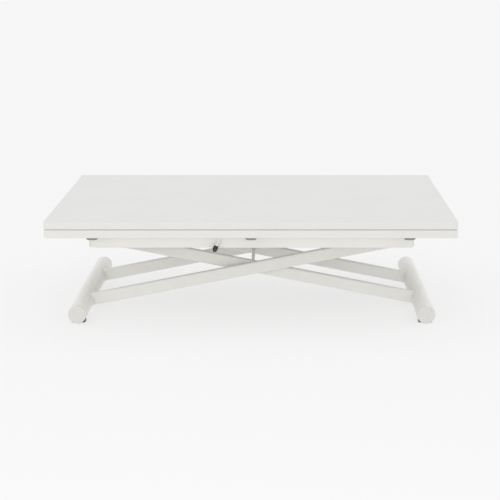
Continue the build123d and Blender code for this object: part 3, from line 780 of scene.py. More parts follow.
SCREW_ZINC = DrawnMetal(
    "dull_zinc_screws", "zinc_steel", colour=(0.52, 0.52, 0.5), tarnish=(0.33, 0.32, 0.29), roughness=0.38,
)
NYLON = MouldedPlastic(
    "natural_nylon", "nylon", colour=(0.62, 0.6, 0.53), scuffed=(0.72, 0.7, 0.64),
    roughness=0.4, grain=0.0005,
)
STOP_RUBBER = MouldedPlastic(
    "black_stop_rubber", "bumper_rubber", colour=(0.028, 0.028, 0.027), scuffed=(0.09, 0.09, 0.085),
    roughness=0.7, depth=0.00009, dust=0.3,
)
GRIP_RUBBER = MouldedPlastic(
    "black_grip", "grip_rubber", colour=(0.022, 0.021, 0.019), scuffed=(0.07, 0.068, 0.06), roughness=0.38,
    grain=0.0005, dust=0.08,
)
PAD_SILICONE = MouldedPlastic(
    "clear_pad", "pad_silicone", colour=(0.62, 0.62, 0.61), scuffed=(0.7, 0.7, 0.69),
    roughness=0.3, dust=0.15,
)
CYLINDER_PAINT = GlossPaint("black_cylinder_paint", "cylinder_paint")
ROD_CHROME = DrawnMetal(
    "hard_chrome", "rod_chrome", colour=(0.8, 0.8, 0.81), tarnish=(0.66, 0.66, 0.67), roughness=0.08,
    run=Run.ALONG_X, depth=0.000004,
)
HEAD_ALLOY = DrawnMetal(
    "cast_alloy", "head_alloy", colour=(0.5, 0.5, 0.5), tarnish=(0.36, 0.36, 0.35),
    roughness=0.45, run=Run.ALONG_X,
)


# ------------------------------------------------------------------ meshes

def smooth_by_angle(mesh: bpy.types.Mesh, limit_degrees: float = 32.0) -> None:
    """Shades a mesh smooth, with sharp edges where its faces turn by more than the limit.

    Args:
        mesh: the mesh.
        limit_degrees: the limit.
    """
    shape = bmesh.new()
    shape.from_mesh(mesh)
    limit = math.radians(limit_degrees)
    for edge in shape.edges:
        edge.smooth = len(edge.link_faces) == 2 and edge.calc_face_angle(0.0) < limit
    for face in shape.faces:
        face.smooth = True
    shape.to_mesh(mesh)
    shape.free()


def make_piece(name: str, shape: bmesh.types.BMesh, material: bpy.types.Material) -> bpy.types.Object:
    """Turns a bmesh into an object of the scene.

    Args:
        name: the piece's name.
        shape: its mesh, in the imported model's frame; it is freed.
        material: its material.

    Returns:
        The new object.
    """
    bmesh.ops.recalc_face_normals(shape, faces=shape.faces)
    mesh = bpy.data.meshes.new(name)
    shape.to_mesh(mesh)
    shape.free()
    smooth_by_angle(mesh)
    mesh.materials.append(material)
    piece = bpy.data.objects.new(name, mesh)
    bpy.context.scene.collection.objects.link(piece)
    return piece


def sweep(
    shape: bmesh.types.BMesh, points: Sequence[Vector], radius: Callable[[int], float],
    sides: int, closed: bool,
) -> None:
    """Adds a round bar along a path.

    Args:
        shape: the mesh that gets it.
        points: the path.
        radius: the bar's radius at each point, by its index.
        sides: how many sides it has.
        closed: whether the path is a loop; an open bar is closed with a flat face at each end.
    """
    count = len(points)
    rings = []
    side_way = None
    for index, point in enumerate(points):
        before = points[index - 1] if closed or index else points[0]
        after = points[(index + 1) % count] if closed or index < count - 1 else points[-1]
        along = (after - before).normalized()
        if side_way is None:
            side_way = along.orthogonal().normalized()
        side_way = (side_way - along * side_way.dot(along)).normalized()
        up_way = along.cross(side_way)
        ring = []
        for step in range(sides):
            turn = 2 * math.pi * step / sides
            reach = side_way * math.cos(turn) + up_way * math.sin(turn)
            ring.append(shape.verts.new(point + reach * radius(index)))
        rings.append(ring)
    spans = count if closed else count - 1
    for index in range(spans):
        join_rings(shape, rings[index], rings[(index + 1) % count], closed and index == spans - 1)
    if not closed:
        shape.faces.new(reversed(rings[0]))
        shape.faces.new(rings[-1])


def join_rings(shape: bmesh.types.BMesh, first: Ring, second: Ring, align: bool = False) -> None:
    """Joins two rings of the same size with quads.

    Args:
        shape: the mesh that holds them.
        first: one ring's vertices.
        second: the other ring's vertices.
        align: whether to turn the second ring to its nearest match first.
    """
    count = len(first)
    shift = 0
    if align:
        shift = min(range(count), key=lambda step: (second[step].co - first[0].co).length_squared)
    for step in range(count):
        after = (step + 1) % count
        corners = (first[step], first[after], second[(after + shift) % count], second[(step + shift) % count])
        shape.faces.new(corners)


def lathe(
    shape: bmesh.types.BMesh, profile: Sequence[tuple[float, float]], place: Matrix, sides: int,
    reach: Callable[[float, float], float] | None = None,
) -> list[Ring]:
    """Adds a turned shape, open at both ends.

    Args:
        shape: the mesh that gets it.
        profile: (along, radius) pairs along the local Z axis.
        place: where the local frame goes.
        sides: how many sides it has.
        reach: a factor on the radius, from (along, turn), for flutes and ribs.

    Returns:
        The rings of vertices, in the profile's order.
    """
    rings = []
    for along, radius in profile:
        ring = []
        for step in range(sides):
            turn = 2 * math.pi * step / sides
            factor = reach(along, turn) if reach else 1.0
            local = Vector((radius * factor * math.cos(turn), radius * factor * math.sin(turn), along))
            ring.append(shape.verts.new(place @ local))
        rings.append(ring)
    for first, second in zip(rings, rings[1:]):
        join_rings(shape, first, second)
    return rings


def fill_ring(shape: bmesh.types.BMesh, ring: Ring) -> None:
    """Closes a ring of vertices with one face."""
    shape.faces.new(ring)


def bridge_to_pit(
    shape: bmesh.types.BMesh, ring: Ring, outline: Sequence[tuple[float, float]], place: Matrix,
    top: float, depth: float, taper: float,
) -> None:
    """Closes a ring with a flat face that has a driver's pit in it.

    Args:
        shape: the mesh that holds the ring.
        ring: the ring's vertices, round the pit.
        outline: the pit's outline, as (x, y) in the local frame.
        place: where the local frame goes.
        top: where the flat face is along the local Z axis.
        depth: how deep the pit is, towards -Z.
        taper: the size of the pit's bottom, as a share of its mouth.
    """
    mouth = [shape.verts.new(place @ Vector((x, y, top))) for x, y in outline]
    floor = [shape.verts.new(place @ Vector((x * taper, y * taper, top - depth))) for x, y in outline]
    mouth_edges = [shape.edges.new((mouth[i], mouth[(i + 1) % len(mouth)])) for i in range(len(mouth))]
    ring_edges = [shape.edges.get((ring[i], ring[(i + 1) % len(ring)])) for i in range(len(ring))]
    bmesh.ops.bridge_loops(shape, edges=mouth_edges + ring_edges)
    join_rings(shape, mouth, floor)
    fill_ring(shape, floor)


def solid_boxes(node: bpy.types.Object) -> list[tuple[Vector, Vector]]:
    """Finds the box of each separate solid in a CAD node.

    Args:
        node: the CAD node's object.

    Returns:
        Lowest and highest corners, one pair for each solid, sorted by their middle.
    """
    shape = bmesh.new()
    shape.from_mesh(node.data)
    bmesh.ops.remove_doubles(shape, verts=shape.verts, dist=1e-6)
    left = set(shape.verts)
    boxes = []
    while left:
        waiting = [left.pop()]
        island = []
        while waiting:
            vertex = waiting.pop()
            island.append(vertex.co.copy())
            for edge in vertex.link_edges:
                other = edge.other_vert(vertex)
                if other in left:
                    left.remove(other)
                    waiting.append(other)
        low = Vector([min(point[axis] for point in island) for axis in range(3)])
        high = Vector([max(point[axis] for point in island) for axis in range(3)])
        boxes.append((low, high))
    shape.free()
    return sorted(boxes, key=lambda pair: tuple(round(c, 4) for c in pair[0] + pair[1]))


def rounded_loop(
    half_width: float, half_height: float, radius: float, corner_steps: int,
) -> list[tuple[float, float]]:
    """Works out a rounded rectangle about the origin.

    Args:
        half_width: half of its width.
        half_height: half of its height.
        radius: its corners' radius.
        corner_steps: how many spans each corner has.

    Returns:
        Its points, as (across, up) pairs.
    """
    points = []
    corners = ((1, 1, 0.0), (-1, 1, 90.0), (-1, -1, 180.0), (1, -1, 270.0))
    for sign_x, sign_y, start in corners:
        for step in range(corner_steps + 1):
            turn = math.radians(start + 90.0 * step / corner_steps)
            across = sign_x * (half_width - radius) + radius * math.cos(turn)
            up = sign_y * (half_height - radius) + radius * math.sin(turn)
            points.append((across, up))
    return points


def evenly(points: Sequence[Vector], pitch: float, closed: bool) -> list[Vector]:
    """Spaces points evenly along a path.

    Args:
        points: the path's corners.
        pitch: the wanted distance between the new points.
        closed: whether the path is a loop.

    Returns:
        The new points.
    """
    corners = list(points) + ([points[0]] if closed else [])
    lengths = [0.0]
    for first, second in zip(corners, corners[1:]):
        lengths.append(lengths[-1] + (second - first).length)
    count = max(4, round(lengths[-1] / pitch))
    made = []
    span = 0
    for index in range(count if closed else count + 1):
        wanted = lengths[-1] * index / count
        while span < len(lengths) - 2 and lengths[span + 1] < wanted:
            span += 1
        share = (wanted - lengths[span]) / max(1e-9, lengths[span + 1] - lengths[span])
        made.append(corners[span].lerp(corners[span + 1], min(1.0, share)))
    return made


# ------------------------------------------------------------------ sub-assemblies

@dataclass
class Assembly:
    """What every sub-assembly has.

    Attributes:
        finishes: the materials.
    """

    frame: dict[str, Any]
    finishes: Finishes

    def build(self) -> None:
        """Dresses and makes the pieces; each sub-assembly has its own way."""
        raise NotImplementedError

    def dress(self, finish: Finish, *nodes: str) -> None:
        """Gives CAD nodes a finish.

        Args:
            finish: the finish.
            nodes: the nodes' names.
        """
        material = self.finishes.get(finish)
        for name in nodes:
            for holder in self.frame["nodes"][name].material_slots:
                holder.material = material
            LOG.info("dressed %s in %s", name, finish.name)

    def add(
        self, name: str, shape: bmesh.types.BMesh, finish: Finish, body: str, replaced: Sequence[str] = (),
    ) -> bpy.types.Object:
        """Adds a new piece that rides on a body.

        Args:
            name: the piece's name.
            shape: its mesh.
            finish: its finish.
            body: the CAD body that carries it.
            replaced: the CAD nodes that it stands for.

        Returns:
            The new object.
        """
        piece = make_piece(name, shape, self.finishes.get(finish))
        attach(piece, body)
        if replaced:
            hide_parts(*replaced)
        LOG.info("built %s on %s", name, body)
        return piece

    def joint(self, name: str) -> Vector:
        """Finds where a hinge joint's axis is.

        Args:
            name: the joint's name.

        Returns:
            A point on its axis.
        """
        found = next(entry for entry in self.frame["joints"] if entry["name"] == name)
        return Vector(found["pos_m"])


@dataclass
class WeldBead:
    """The ripple of a weld bead.

    Attributes:
        radius: the bead's radius.
        ripple: how much the radius swells at each ripple, as a share.
        pitch: the distance between ripples.
        steps: mesh rings per ripple.
        sides: how many sides the bead has.
        wander: uneven swells, as (share, step) pairs.
        end_share: the radius at the ends of an open bead, as a share.
        end_growth: how much of the radius each ring from an end adds.
    """

    radius: float = 1.9 * MM
    ripple: float = 0.14
    pitch: float = 2.4 * MM
    steps: int = 4
    sides: int = 10
    wander: tuple[tuple[float, float], ...] = ((0.06, 0.37), (0.04, 0.083))
    end_share: float = 0.35
    end_growth: float = 0.25

    def lay(self, shape: bmesh.types.BMesh, path: Sequence[Vector], closed: bool) -> None:
        """Adds a bead along a path.

        Args:
            shape: the mesh that gets it.
            path: the path's corners.
            closed: whether the path is a loop.
        """
        points = evenly(path, self.pitch / self.steps, closed)

        def radius_at(index: int) -> float:
            """Works out the bead's radius at one ring; an open bead starts and ends thin.

            Args:
                index: the ring's index.

            Returns:
                The radius.
            """
            swell = self.ripple * math.cos(2 * math.pi * index / self.steps)
            wander = sum(share * math.sin(index * step) for share, step in self.wander)
            from_end = min(index, len(points) - 1 - index)
            ends = 1.0 if closed else min(1.0, self.end_share + self.end_growth * from_end)
            return self.radius * ends * (1.0 + swell + wander)

        sweep(shape, points, radius_at, self.sides, closed)


@dataclass
class TableTop(Assembly):
    """The two leaves, their hinges and the pads between them.

    Attributes:
        recess_arm: how far the screws' cross recess reaches.
        recess_width: how wide its arms are.
        recess_depth: how deep it is.
        crown_height: how far the screws' heads stand out.
        tip_length: the length of the screws' points.
        thread_pitch: the distance between the threads.
        thread_root: the threads' root, as a share of their crest.
        pit_taper: the size of the recess's bottom, as a share of its mouth.
        sides: how many sides the turned screws have.
    """

    recess_arm: float = 1.75 * MM
    recess_width: float = 0.8 * MM
    recess_depth: float = 1.3 * MM
    crown_height: float = 0.28 * MM
    tip_length: float = 2.5 * MM
    thread_pitch: float = 1.1 * MM
    thread_root: float = 0.8
    pit_taper: float = 0.55
    sides: int = 48

    def build(self) -> None:
        """Dresses the leaves and makes the hinge screws."""
        # The lower leaf's underside is painted lighter, to throw light into the shade below it.
        self.dress(LAMINATE_WITH_LIGHTENED_UNDERSIDE, "lower_leaf")
        self.dress(LAMINATE, "upper_leaf")
        self.dress(PAD_SILICONE, "leaf_pads")
        self.dress(ZINC, "lower_hinge_plates", "upper_hinge_plates", "hinge_pins")
        self.screws("lower_hinge_screws", "lower_top")
        self.screws("upper_hinge_screws", "upper_top")

    def cross(self) -> list[tuple[float, float]]:
        """Works out the outline of a cross recess.

        Returns:
            Its points, as (x, y) pairs.
        """
        arm, half = self.recess_arm, self.recess_width / 2
        quarter = ((arm, -half), (arm, half), (half, half))
        points = []
        for turn in range(4):
            cosine, sine = round(math.cos(turn * math.pi / 2)), round(math.sin(turn * math.pi / 2))
            points.extend((x * cosine - y * sine, x * sine + y * cosine) for x, y in quarter)
        return points

    def screws(self, node: str, body: str) -> None:
        """Replaces a node of countersunk screws with screws that have a driver's recess.

        Args:
            node: the CAD node.
            body: the body that carries it.
        """
        shape = bmesh.new()
        for low, high in solid_boxes(self.frame["nodes"][node]):
            head = (high.x - low.x) / 2
            length = high.y - low.y
            shank = head / 2
            cone = head - shank
            middle = Vector(((low.x + high.x) / 2, high.y, (low.z + high.z) / 2))
            place = Matrix.Translation(middle) @ Matrix.Rotation(math.radians(-90), 4, "X")
            tip = -length + self.tip_length
            profile = [(-length, shank * 0.2), (tip, shank * 0.92)]
            thread = self.thread_pitch
            turns = int((length - cone - 4 * MM) / thread)
            for turn in range(turns):
                start = tip + turn * thread
                root = shank * self.thread_root
                profile += [(start + 0.35 * thread, root), (start + 0.7 * thread, shank)]
            profile += [(-cone, shank), (-0.25 * MM, head * 0.96), (-0.22 * MM, head * 0.985)]
            crown = self.crown_height
            profile += [(0.05 * MM, head * 0.94), (0.55 * crown, head * 0.85), (crown, head * 0.68)]
            rings = lathe(shape, profile, place, self.sides)
            fill_ring(shape, rings[0])
            cross = self.cross()
            bridge_to_pit(shape, rings[-1], cross, place, crown, self.recess_depth, self.pit_taper)
        self.add(f"{node}_turned", shape, SCREW_ZINC, body, [node])


@dataclass
class SlideGuides(Assembly):
    """The three slide bars, their runners, caps and screws."""

    def build(self) -> None:
        """Dresses the guides."""
        for side in ("left", "middle", "right"):
            self.dress(GUIDE_METAL, f"{side}_guide_bar", f"{side}_runner")
        self.dress(GUIDE_CAP_PLASTIC, "runner_end_caps")
        self.dress(ZINC, "runner_screws", "guide_screws")


@dataclass
class TopFrame(Assembly):
    """Rails, cross members, tracks and what is welded to them.

    Attributes:
        bead: the weld beads' ripple.
        corner: the corner radius of the box tubes.
    """

    bead: WeldBead = field(default_factory=lambda: WeldBead(radius=1.5 * MM))
    corner: float = 2.0 * MM

    def build(self) -> None:
        """Dresses the frame and welds it."""
        # The rails take the lighter copy of the coat, painted light against the shade under the top's
        # overhang.
        self.dress(COAT_LIGHTENED_FOR_SHADE, "front_rail", "rear_rail")
        # The rail end caps take the lighter copy of the cap plastic, painted light against the shade under
        # the overhang.
        self.dress(CAP_PLASTIC_LIGHTENED_FOR_SHADE, "rail_end_caps")
        self.dress(
            FRAME_COAT, "left_cross_member", "middle_cross_member",
            "right_cross_member", "front_track", "rear_track", "gas_spring_bracket",
        )
        self.dress(STOP_RUBBER, "track_bumpers")
        self.dress(ZINC, "fixed_pivot_axle", "fixed_pivot_spacers")
        self.weld_cross_members()
        self.weld_tracks()

    def weld_cross_members(self) -> None:
        """Lays a bead down the free side and along the bottom of each cross member's ends."""
        shape = bmesh.new()
        steel_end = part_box("front_rail")[1].x
        for side in ("left", "middle", "right"):
            low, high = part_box(f"{side}_cross_member")
            left_x, right_x = max(low.x, -steel_end), min(high.x, steel_end)
            top_z = high.z - 2 * self.corner
            for y in (low.y, high.y):
                path = [Vector((left_x, y, low.z)), Vector((right_x, y, low.z))]
                if left_x == low.x:
                    path.insert(0, Vector((left_x, y, top_z)))
                if right_x == high.x:
                    path.append(Vector((right_x, y, top_z)))
                self.bead.lay(shape, path, closed=False)
        self.add("cross_member_welds", shape, WELD_COAT, "top_frame")

    def weld_tracks(self) -> None:
        """Lays short beads where the tracks hang under the cross members."""
        shape = bmesh.new()
        for track in ("front_track", "rear_track"):
            track_low, track_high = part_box(track)
            for side in ("left", "middle", "right"):
                low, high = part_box(f"{side}_cross_member")
                for x in (low.x, high.x):
                    if track_low.x < x < track_high.x:
                        ends = [Vector((x, y, low.z)) for y in (track_low.y + 2 * MM, track_high.y - 2 * MM)]
                        self.bead.lay(shape, ends, closed=False)
        self.add("track_welds", shape, WELD_COAT, "top_frame")


@dataclass
class LegFrames(Assembly):
    """Legs, foot tubes, axles, bushes and rollers.

    Attributes:
        bead: the weld beads' ripple.
        edge_round: the round of the legs' long edges.
    """

    bead: WeldBead = field(default_factory=WeldBead)
    edge_round: float = 5.0 * MM

    def build(self) -> None:
        """Dresses the leg frames and welds the legs to the foot tubes."""
        self.dress(
            FRAME_COAT, "outer_leg_front", "outer_leg_rear", "inner_leg_front", "inner_leg_rear",
            "crossing_axle",
        )
        # The foot tubes take the lighter copy of the coat, painted light against the shade on their sides.
        self.dress(COAT_LIGHTENED_FOR_SHADE, "left_foot_tube", "right_foot_tube")
        self.dress(ZINC, "crossing_washers", "roller_axle", "roller_axle_collars")
        self.dress(NYLON, "inner_leg_bushes", "roller_front", "roller_rear")
        self.weld("outer", "left_foot_tube", self.joint("left_shoe_pivot"), self.joint("gas_spring_eye"))
        self.weld("inner", "right_foot_tube", self.joint("lift"), self.joint("top_frame_pivot"))

    def weld(self, pair: str, tube: str, foot: Vector, pivot: Vector) -> None:
        """Lays a bead round the coped foot of each leg of a pair.

        Args:
            pair: "outer" or "inner".
            tube: the foot tube's node.
            foot: the foot tube's axis.
            pivot: the upper pivot's axis.
        """
        shape = bmesh.new()
        along = (pivot - foot).normalized()
        across = Vector((0.0, 1.0, 0.0))
        up = along.cross(across)
        tube_low, tube_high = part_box(tube)
        tube_radius = (tube_high.z - tube_low.z) / 2
        for end in ("front", "rear"):
            low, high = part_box(f"{pair}_leg_{end}")
            half_width = high.z - pivot.z
            middle = Vector((foot.x, (low.y + high.y) / 2, foot.z))
            outline = rounded_loop((high.y - low.y) / 2, half_width, self.edge_round, corner_steps=6)
            path = []
            for side, height in outline:
                reach = math.sqrt(tube_radius**2 - height**2)
                path.append(middle + along * reach + across * side + up * height)
            self.bead.lay(shape, path, closed=True)
        self.add(f"{pair}_leg_welds", shape, WELD_COAT, f"{pair}_leg_frame")


@dataclass
class Feet(Assembly):
    """End caps of the foot tubes and the shoes that they turn in."""

    def build(self) -> None:
        """Dresses the caps and shoes."""
        for side in ("left", "right"):
            for end in ("front", "rear"):
                self.dress(CAP_PLASTIC, f"{side}_foot_cap_{end}")
                self.dress(SHOE_PLASTIC, f"{side}_shoe_{end}")


@dataclass
class GasSpring(Assembly):
    """The locking gas spring, its release head and bolts.

    Attributes:
        hex_across: the bolts' hexagon recess across its corners.
        hex_depth: how deep it is.
        head_height: the height of the bolts' heads.
        shank: the radius of their shanks.
        knurl_count: how many ridges the heads' rims have.
        knurl_depth: the ridges' depth, as a share of the radius.
        pit_taper: the size of the recess's bottom, as a share of its mouth.
    """

    hex_across: float = 5.6 * MM
    hex_depth: float = 2.4 * MM
    head_height: float = 4.0 * MM
    shank: float = 3.0 * MM
    knurl_count: int = 36
    knurl_depth: float = 0.02
    pit_taper: float = 0.97

    def build(self) -> None:
        """Dresses the spring and makes its bolts."""
        self.dress(CYLINDER_PAINT, "gas_cylinder", "gas_gland")
        self.dress(ROD_CHROME, "gas_rod", "release_pin")
        self.dress(HEAD_ALLOY, "release_head")
        self.bolts()

    def knurl(self, along: float, turn: float) -> float:
        """Works out the fine knurling on the rim of a bolt's head.

        Args:
            along: the place along the bolt.
            turn: the angle round it.

        Returns:
            A factor on the radius.
        """
        on_rim = -self.head_height + 0.25 * MM < along < -0.6 * MM
        ridge = self.knurl_depth * (0.5 + 0.5 * math.cos(self.knurl_count * turn))
        return 1.0 - (ridge if on_rim else 0.0)

    def bolts(self) -> None:
        """Replaces the head bolts with ones that have a hexagon recess and a knurled rim."""
        shape = bmesh.new()
        corner = self.hex_across / 2
        head_height, shank = self.head_height, self.shank
        turns = [math.radians(60 * step) for step in range(6)]
        hexagon = [(corner * math.cos(turn), corner * math.sin(turn)) for turn in turns]
        sides = 4 * self.knurl_count
        for low, high in solid_boxes(self.frame["nodes"]["head_bolts"]):
            outward = -1.0 if (low.y + high.y) < 0 else 1.0
            face_y = low.y if outward < 0 else high.y
            head = (high.x - low.x) / 2
            middle = Vector(((low.x + high.x) / 2, face_y, (low.z + high.z) / 2))
            place = Matrix.Translation(middle) @ Matrix.Rotation(math.radians(-90 * outward), 4, "X")
            length = high.y - low.y
            profile = [
                (-length, shank * 0.8), (-length + 0.5 * MM, shank), (-head_height, shank),
                (-head_height, head * 0.94), (-head_height + 0.3 * MM, head), (-0.7 * MM, head),
                (-0.15 * MM, head * 0.93), (0.0, head * 0.88),
            ]
            rings = lathe(shape, profile, place, sides, self.knurl)
            fill_ring(shape, rings[0])
            bridge_to_pit(shape, rings[-1], hexagon, place, 0.0, self.hex_depth, self.pit_taper)
        self.add("head_bolts_turned", shape, ZINC, "top_frame", ["head_bolts"])


@dataclass
class HeightLever(Assembly):
    """The lever rod with its grip, finger, bearing and return spring.

    Attributes:
        grip_length: the grip's length.
        grip_width: its width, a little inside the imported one's.
        dish_radius: the radius of the thumb dish.
        dish_depth: how deep the dish is.
        rim_height: how far the ring round it stands out.
        rim_place: where the ring is, in dish radii.
        rim_spread: how broad it is, in dish radii.
        dish_facing: how squarely a face looks out to carry the dish, from 0 to 1.
        flute_pitch: the distance between the flutes at the sides.
        flute_depth: how deep they are.
        flute_reach: how far along the grip they go, as a share.
        flute_facing: how squarely a side may look out and still have them, from 0 to 1.
        roundness: the power of the grip's outline; 2 is an ellipse.
        rings: mesh rings along the grip.
        sides: how many sides the grip has.
        wire: the return spring's wire radius.
        coils: how many coils it has.
        rod_radius: the radius of the lever's rod.
        coil_gap: the play between the coils and the rod.
        coil_play: the gap between one coil and the next.
        coil_steps: mesh rings per coil.
        wire_sides: how many sides the wire has.
        spring_setback: how far behind the bearing the spring starts.
        first_leg: the length of the spring's first leg.
        last_leg: the reach of its last leg, as a step to its bend and another to its end.
    """

    grip_length: float = 22.0 * MM
    grip_width: float = 15.2 * MM
    dish_radius: float = 4.0 * MM
    dish_depth: float = 1.1 * MM
    rim_height: float = 0.35 * MM
    rim_place: float = 1.15
    rim_spread: float = 0.14
    dish_facing: float = 0.5
    flute_pitch: float = 2.0 * MM
    flute_depth: float = 0.45 * MM
    flute_reach: float = 0.75
    flute_facing: float = 0.62
    roundness: float = 2.3
    rings: int = 64
    sides: int = 128
    wire: float = 0.6 * MM
    coils: float = 6.5
    rod_radius: float = 4.0 * MM
    coil_gap: float = 0.35 * MM
    coil_play: float = 0.15 * MM
    coil_steps: int = 24
    wire_sides: int = 10
    spring_setback: float = 4.0 * MM
    first_leg: float = 9.0 * MM
    last_leg: tuple[Vector, Vector] = (
        Vector((-1.0, 0.2, -6.0)) * MM, Vector((-1.5, 0.2, -12.0)) * MM,
    )

    def build(self) -> None:
        """Dresses the lever and makes its grip and spring."""
        self.dress(FRAME_COAT, "lever_rod")
        self.dress(ZINC, "release_finger")
        self.dress(NYLON, "lever_bearing")
        self.grip()
        self.return_spring()

    def grip_reach(self, along: float, turn: float) -> float:
        """Works out the flutes at the two sides and the ringed dish at the front and the back.

        Args:
            along: the place along the grip.
            turn: the angle round it.

        Returns:
            A factor on the radius.
        """
        half, belly = self.grip_length / 2, self.grip_width / 2
        facing = abs(math.sin(turn))
        out = math.hypot(along, belly * math.cos(turn)) / self.dish_radius
        dish = rim = 0.0
        if facing > self.dish_facing:
            dish = self.dish_depth * max(0.0, 1.0 - out**2)
            rim = self.rim_height * math.exp(-(((out - self.rim_place) / self.rim_spread) ** 2))
        fade = max(0.0, 1.0 - (along / (self.flute_reach * half)) ** 4)
        fade *= max(0.0, 1.0 - (facing / self.flute_facing) ** 6)
        wave = 0.5 + 0.5 * math.cos(2 * math.pi * along / self.flute_pitch)
        return 1.0 - (dish - rim + self.flute_depth * fade * wave) / belly

    def grip(self) -> None:
        """Replaces the grip with an egg-shaped knob that has flutes and a ringed thumb dish on each face."""
        low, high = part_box("lever_grip")
        middle = (low + high) / 2
        pivot = self.joint("height_lever_turn")
        down = Vector((middle.x - pivot.x, 0.0, middle.z - pivot.z)).normalized()
        across = Vector((0.0, 1.0, 0.0))
        place = Matrix.Translation(middle) @ Matrix((across.cross(down), across, down)).transposed().to_4x4()
        half, belly = self.grip_length / 2, self.grip_width / 2
        profile = []
        for step in range(self.rings + 1):
            share = -math.cos(math.pi * step / self.rings)
            radius = belly * (1.0 - abs(share) ** self.roundness) ** (1 / self.roundness)
            profile.append((half * share, max(radius, 0.02 * belly)))
        shape = bmesh.new()
        made = lathe(shape, profile, place, self.sides, self.grip_reach)
        fill_ring(shape, made[0])
        fill_ring(shape, made[-1])
        self.add("lever_knob", shape, GRIP_RUBBER, "height_lever", ["lever_grip"])

    def return_spring(self) -> None:
        """Winds a torsion spring round the lever rod, behind the front rail."""
        pivot = self.joint("height_lever_turn")
        bearing_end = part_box("lever_bearing")[1].y
        coil_radius = self.rod_radius + self.wire + self.coil_gap
        start_y = bearing_end + self.spring_setback
        pitch = 2 * self.wire + self.coil_play
        steps = self.coil_steps
        points = [Vector((pivot.x + coil_radius, start_y, pivot.z - self.first_leg))]
        points.append(Vector((pivot.x + coil_radius, start_y, pivot.z - self.rod_radius)))
        for step in range(int(self.coils * steps) + 1):
            turn = 2 * math.pi * step / steps
            across, up = coil_radius * math.cos(turn), coil_radius * math.sin(turn)
            points.append(Vector((pivot.x + across, start_y + pitch * step / steps, pivot.z + up)))
        tail = points[-1]
        points.extend(tail + step for step in self.last_leg)
        shape = bmesh.new()
        sweep(shape, points, lambda index: self.wire, self.wire_sides, closed=False)
        self.add("lever_return_spring", shape, ZINC, "top_frame")


# ------------------------------------------------------------------ studio

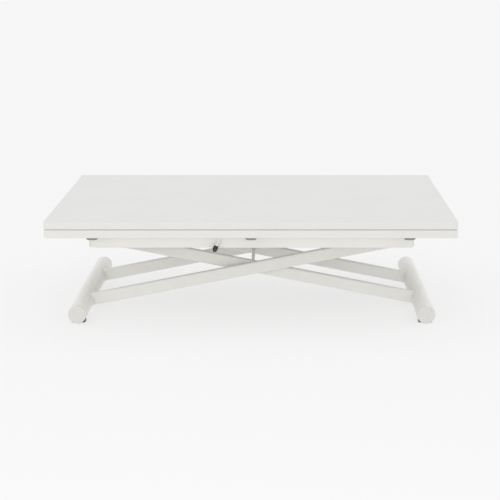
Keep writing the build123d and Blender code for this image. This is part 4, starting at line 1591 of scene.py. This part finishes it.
@dataclass
class Studio:
    """A pale floor, soft light and the camera.

    Attributes:
        camera_place: where the camera stands.
        camera_pitch: how far it looks down, in degrees.
        lens: its focal length in millimetres.
        shift: its sideways shift, as a share of the picture's width.
        floor_half: half of the floor's side.
        floor_colour: the floor's colour.
        floor_glow: the light that the floor gives back by itself.
        sky: the strength of the light all round, near the horizon.
        overhead: its strength straight above.
        sky_heights: the sines of the heights between which it changes.
        key: the strength of the front light, in watts.
        key_place: where the front light stands.
        key_aim: the point that it faces.
        key_size: its width and height.
        sensor: the camera's sensor width in millimetres.
        clip: the nearest and the furthest distance that the camera sees.
    """

    camera_place: Point = (0.073, -3.884, 1.111)
    camera_pitch: float = 13.82
    lens: float = 89.57
    shift: float = -0.052
    floor_half: float = 40.0
    floor_colour: Colour = (0.24, 0.24, 0.24)
    floor_glow: float = 0.656
    sky: float = 1.0
    overhead: float = 1.2
    sky_heights: tuple[float, float] = (0.45, 0.85)
    key: float = 15.5
    key_place: Point = (-0.3, -3.4, 0.95)
    key_aim: Point = (0.0, 0.0, 0.2)
    key_size: tuple[float, float] = (3.0, 0.5)
    sensor: float = 36.0
    clip: tuple[float, float] = (0.05, 200.0)

    def build(self) -> None:
        """Makes the floor, the lights and the camera."""
        self.floor()
        self.lights()
        self.camera()
        scene = bpy.context.scene
        scene.view_settings.view_transform = "Standard"
        scene.view_settings.look = "None"

    def floor(self) -> None:
        """A wide pale floor that gives some light back, as a lit sweep does, and is clear from below."""
        half = self.floor_half
        shape = bmesh.new()
        places = ((-half, -half), (half, -half), (half, half), (-half, half))
        shape.faces.new([shape.verts.new((x, y, 0.0)) for x, y in places])
        mesh = bpy.data.meshes.new("floor")
        shape.to_mesh(mesh)
        shape.free()
        floor = bpy.data.objects.new("floor", mesh)
        bpy.context.scene.collection.objects.link(floor)
        material = bpy.data.materials.new("floor_sweep")
        material.use_nodes = True
        material.node_tree.nodes.clear()
        graph = Graph(material.node_tree)
        shader = graph.add("ShaderNodeBsdfPrincipled")
        shader.inputs["Base Color"].default_value = (*self.floor_colour, 1.0)
        shader.inputs["Roughness"].default_value = 1.0
        shader.inputs["Specular IOR Level"].default_value = 0.0
        shader.inputs["Emission Color"].default_value = (*WHITE, 1.0)
        shader.inputs["Emission Strength"].default_value = self.floor_glow
        below = graph.add("ShaderNodeNewGeometry").outputs["Backfacing"]
        clear = graph.add("ShaderNodeBsdfTransparent").outputs[0]
        both = graph.add("ShaderNodeMixShader", {0: below, 1: shader.outputs[0], 2: clear})
        graph.add("ShaderNodeOutputMaterial", {"Surface": both.outputs[0]})
        mesh.materials.append(material)

    def lights(self) -> None:
        """Even light all round, and a broad low light near the camera."""
        world = bpy.data.worlds.new("even_light")
        bpy.context.scene.world = world
        world.use_nodes = True
        graph = Graph(world.node_tree)
        way = graph.add("ShaderNodeTexCoord").outputs["Generated"]
        height = graph.add("ShaderNodeSeparateXYZ", {0: way}).outputs["Z"]
        strength = graph.spread(height, *self.sky_heights, self.sky, self.overhead)
        background = world.node_tree.nodes["Background"]
        world.node_tree.links.new(strength, background.inputs["Strength"])
        background.inputs["Color"].default_value = (*WHITE, 1.0)
        light = bpy.data.lights.new("front_light", "AREA")
        light.shape = "RECTANGLE"
        light.size, light.size_y = self.key_size
        light.energy = self.key
        lamp = bpy.data.objects.new("front_light", light)
        lamp.location = self.key_place
        aim = Vector(self.key_aim) - lamp.location
        lamp.visible_camera = False
        lamp.rotation_mode = "QUATERNION"
        lamp.rotation_quaternion = aim.to_track_quat("-Z", "Y")
        bpy.context.scene.collection.objects.link(lamp)

    def camera(self) -> None:
        """A long lens, level from side to side, that looks a little down."""
        data = bpy.data.cameras.new("camera")
        data.lens = self.lens
        data.sensor_width = self.sensor
        data.shift_x = self.shift
        data.clip_start, data.clip_end = self.clip
        camera = bpy.data.objects.new("camera", data)
        camera.location = self.camera_place
        camera.rotation_euler = (math.radians(90.0 - self.camera_pitch), 0.0, 0.0)
        bpy.context.scene.collection.objects.link(camera)
        bpy.context.scene.camera = camera


# ------------------------------------------------------------------ main

def main() -> None:
    """Builds the studio and every sub-assembly in order."""
    logging.basicConfig(level=logging.INFO, format="%(name)s: %(message)s")
    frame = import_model()
    Studio().build()
    finishes = Finishes(Effects())
    for assembly in (TableTop, SlideGuides, TopFrame, LegFrames, Feet, GasSpring, HeightLever):
        assembly(frame, finishes).build()
        LOG.info("finished %s", assembly.__name__)
    bpy.context.view_layer.update()


if __name__ == "__main__":
    main()
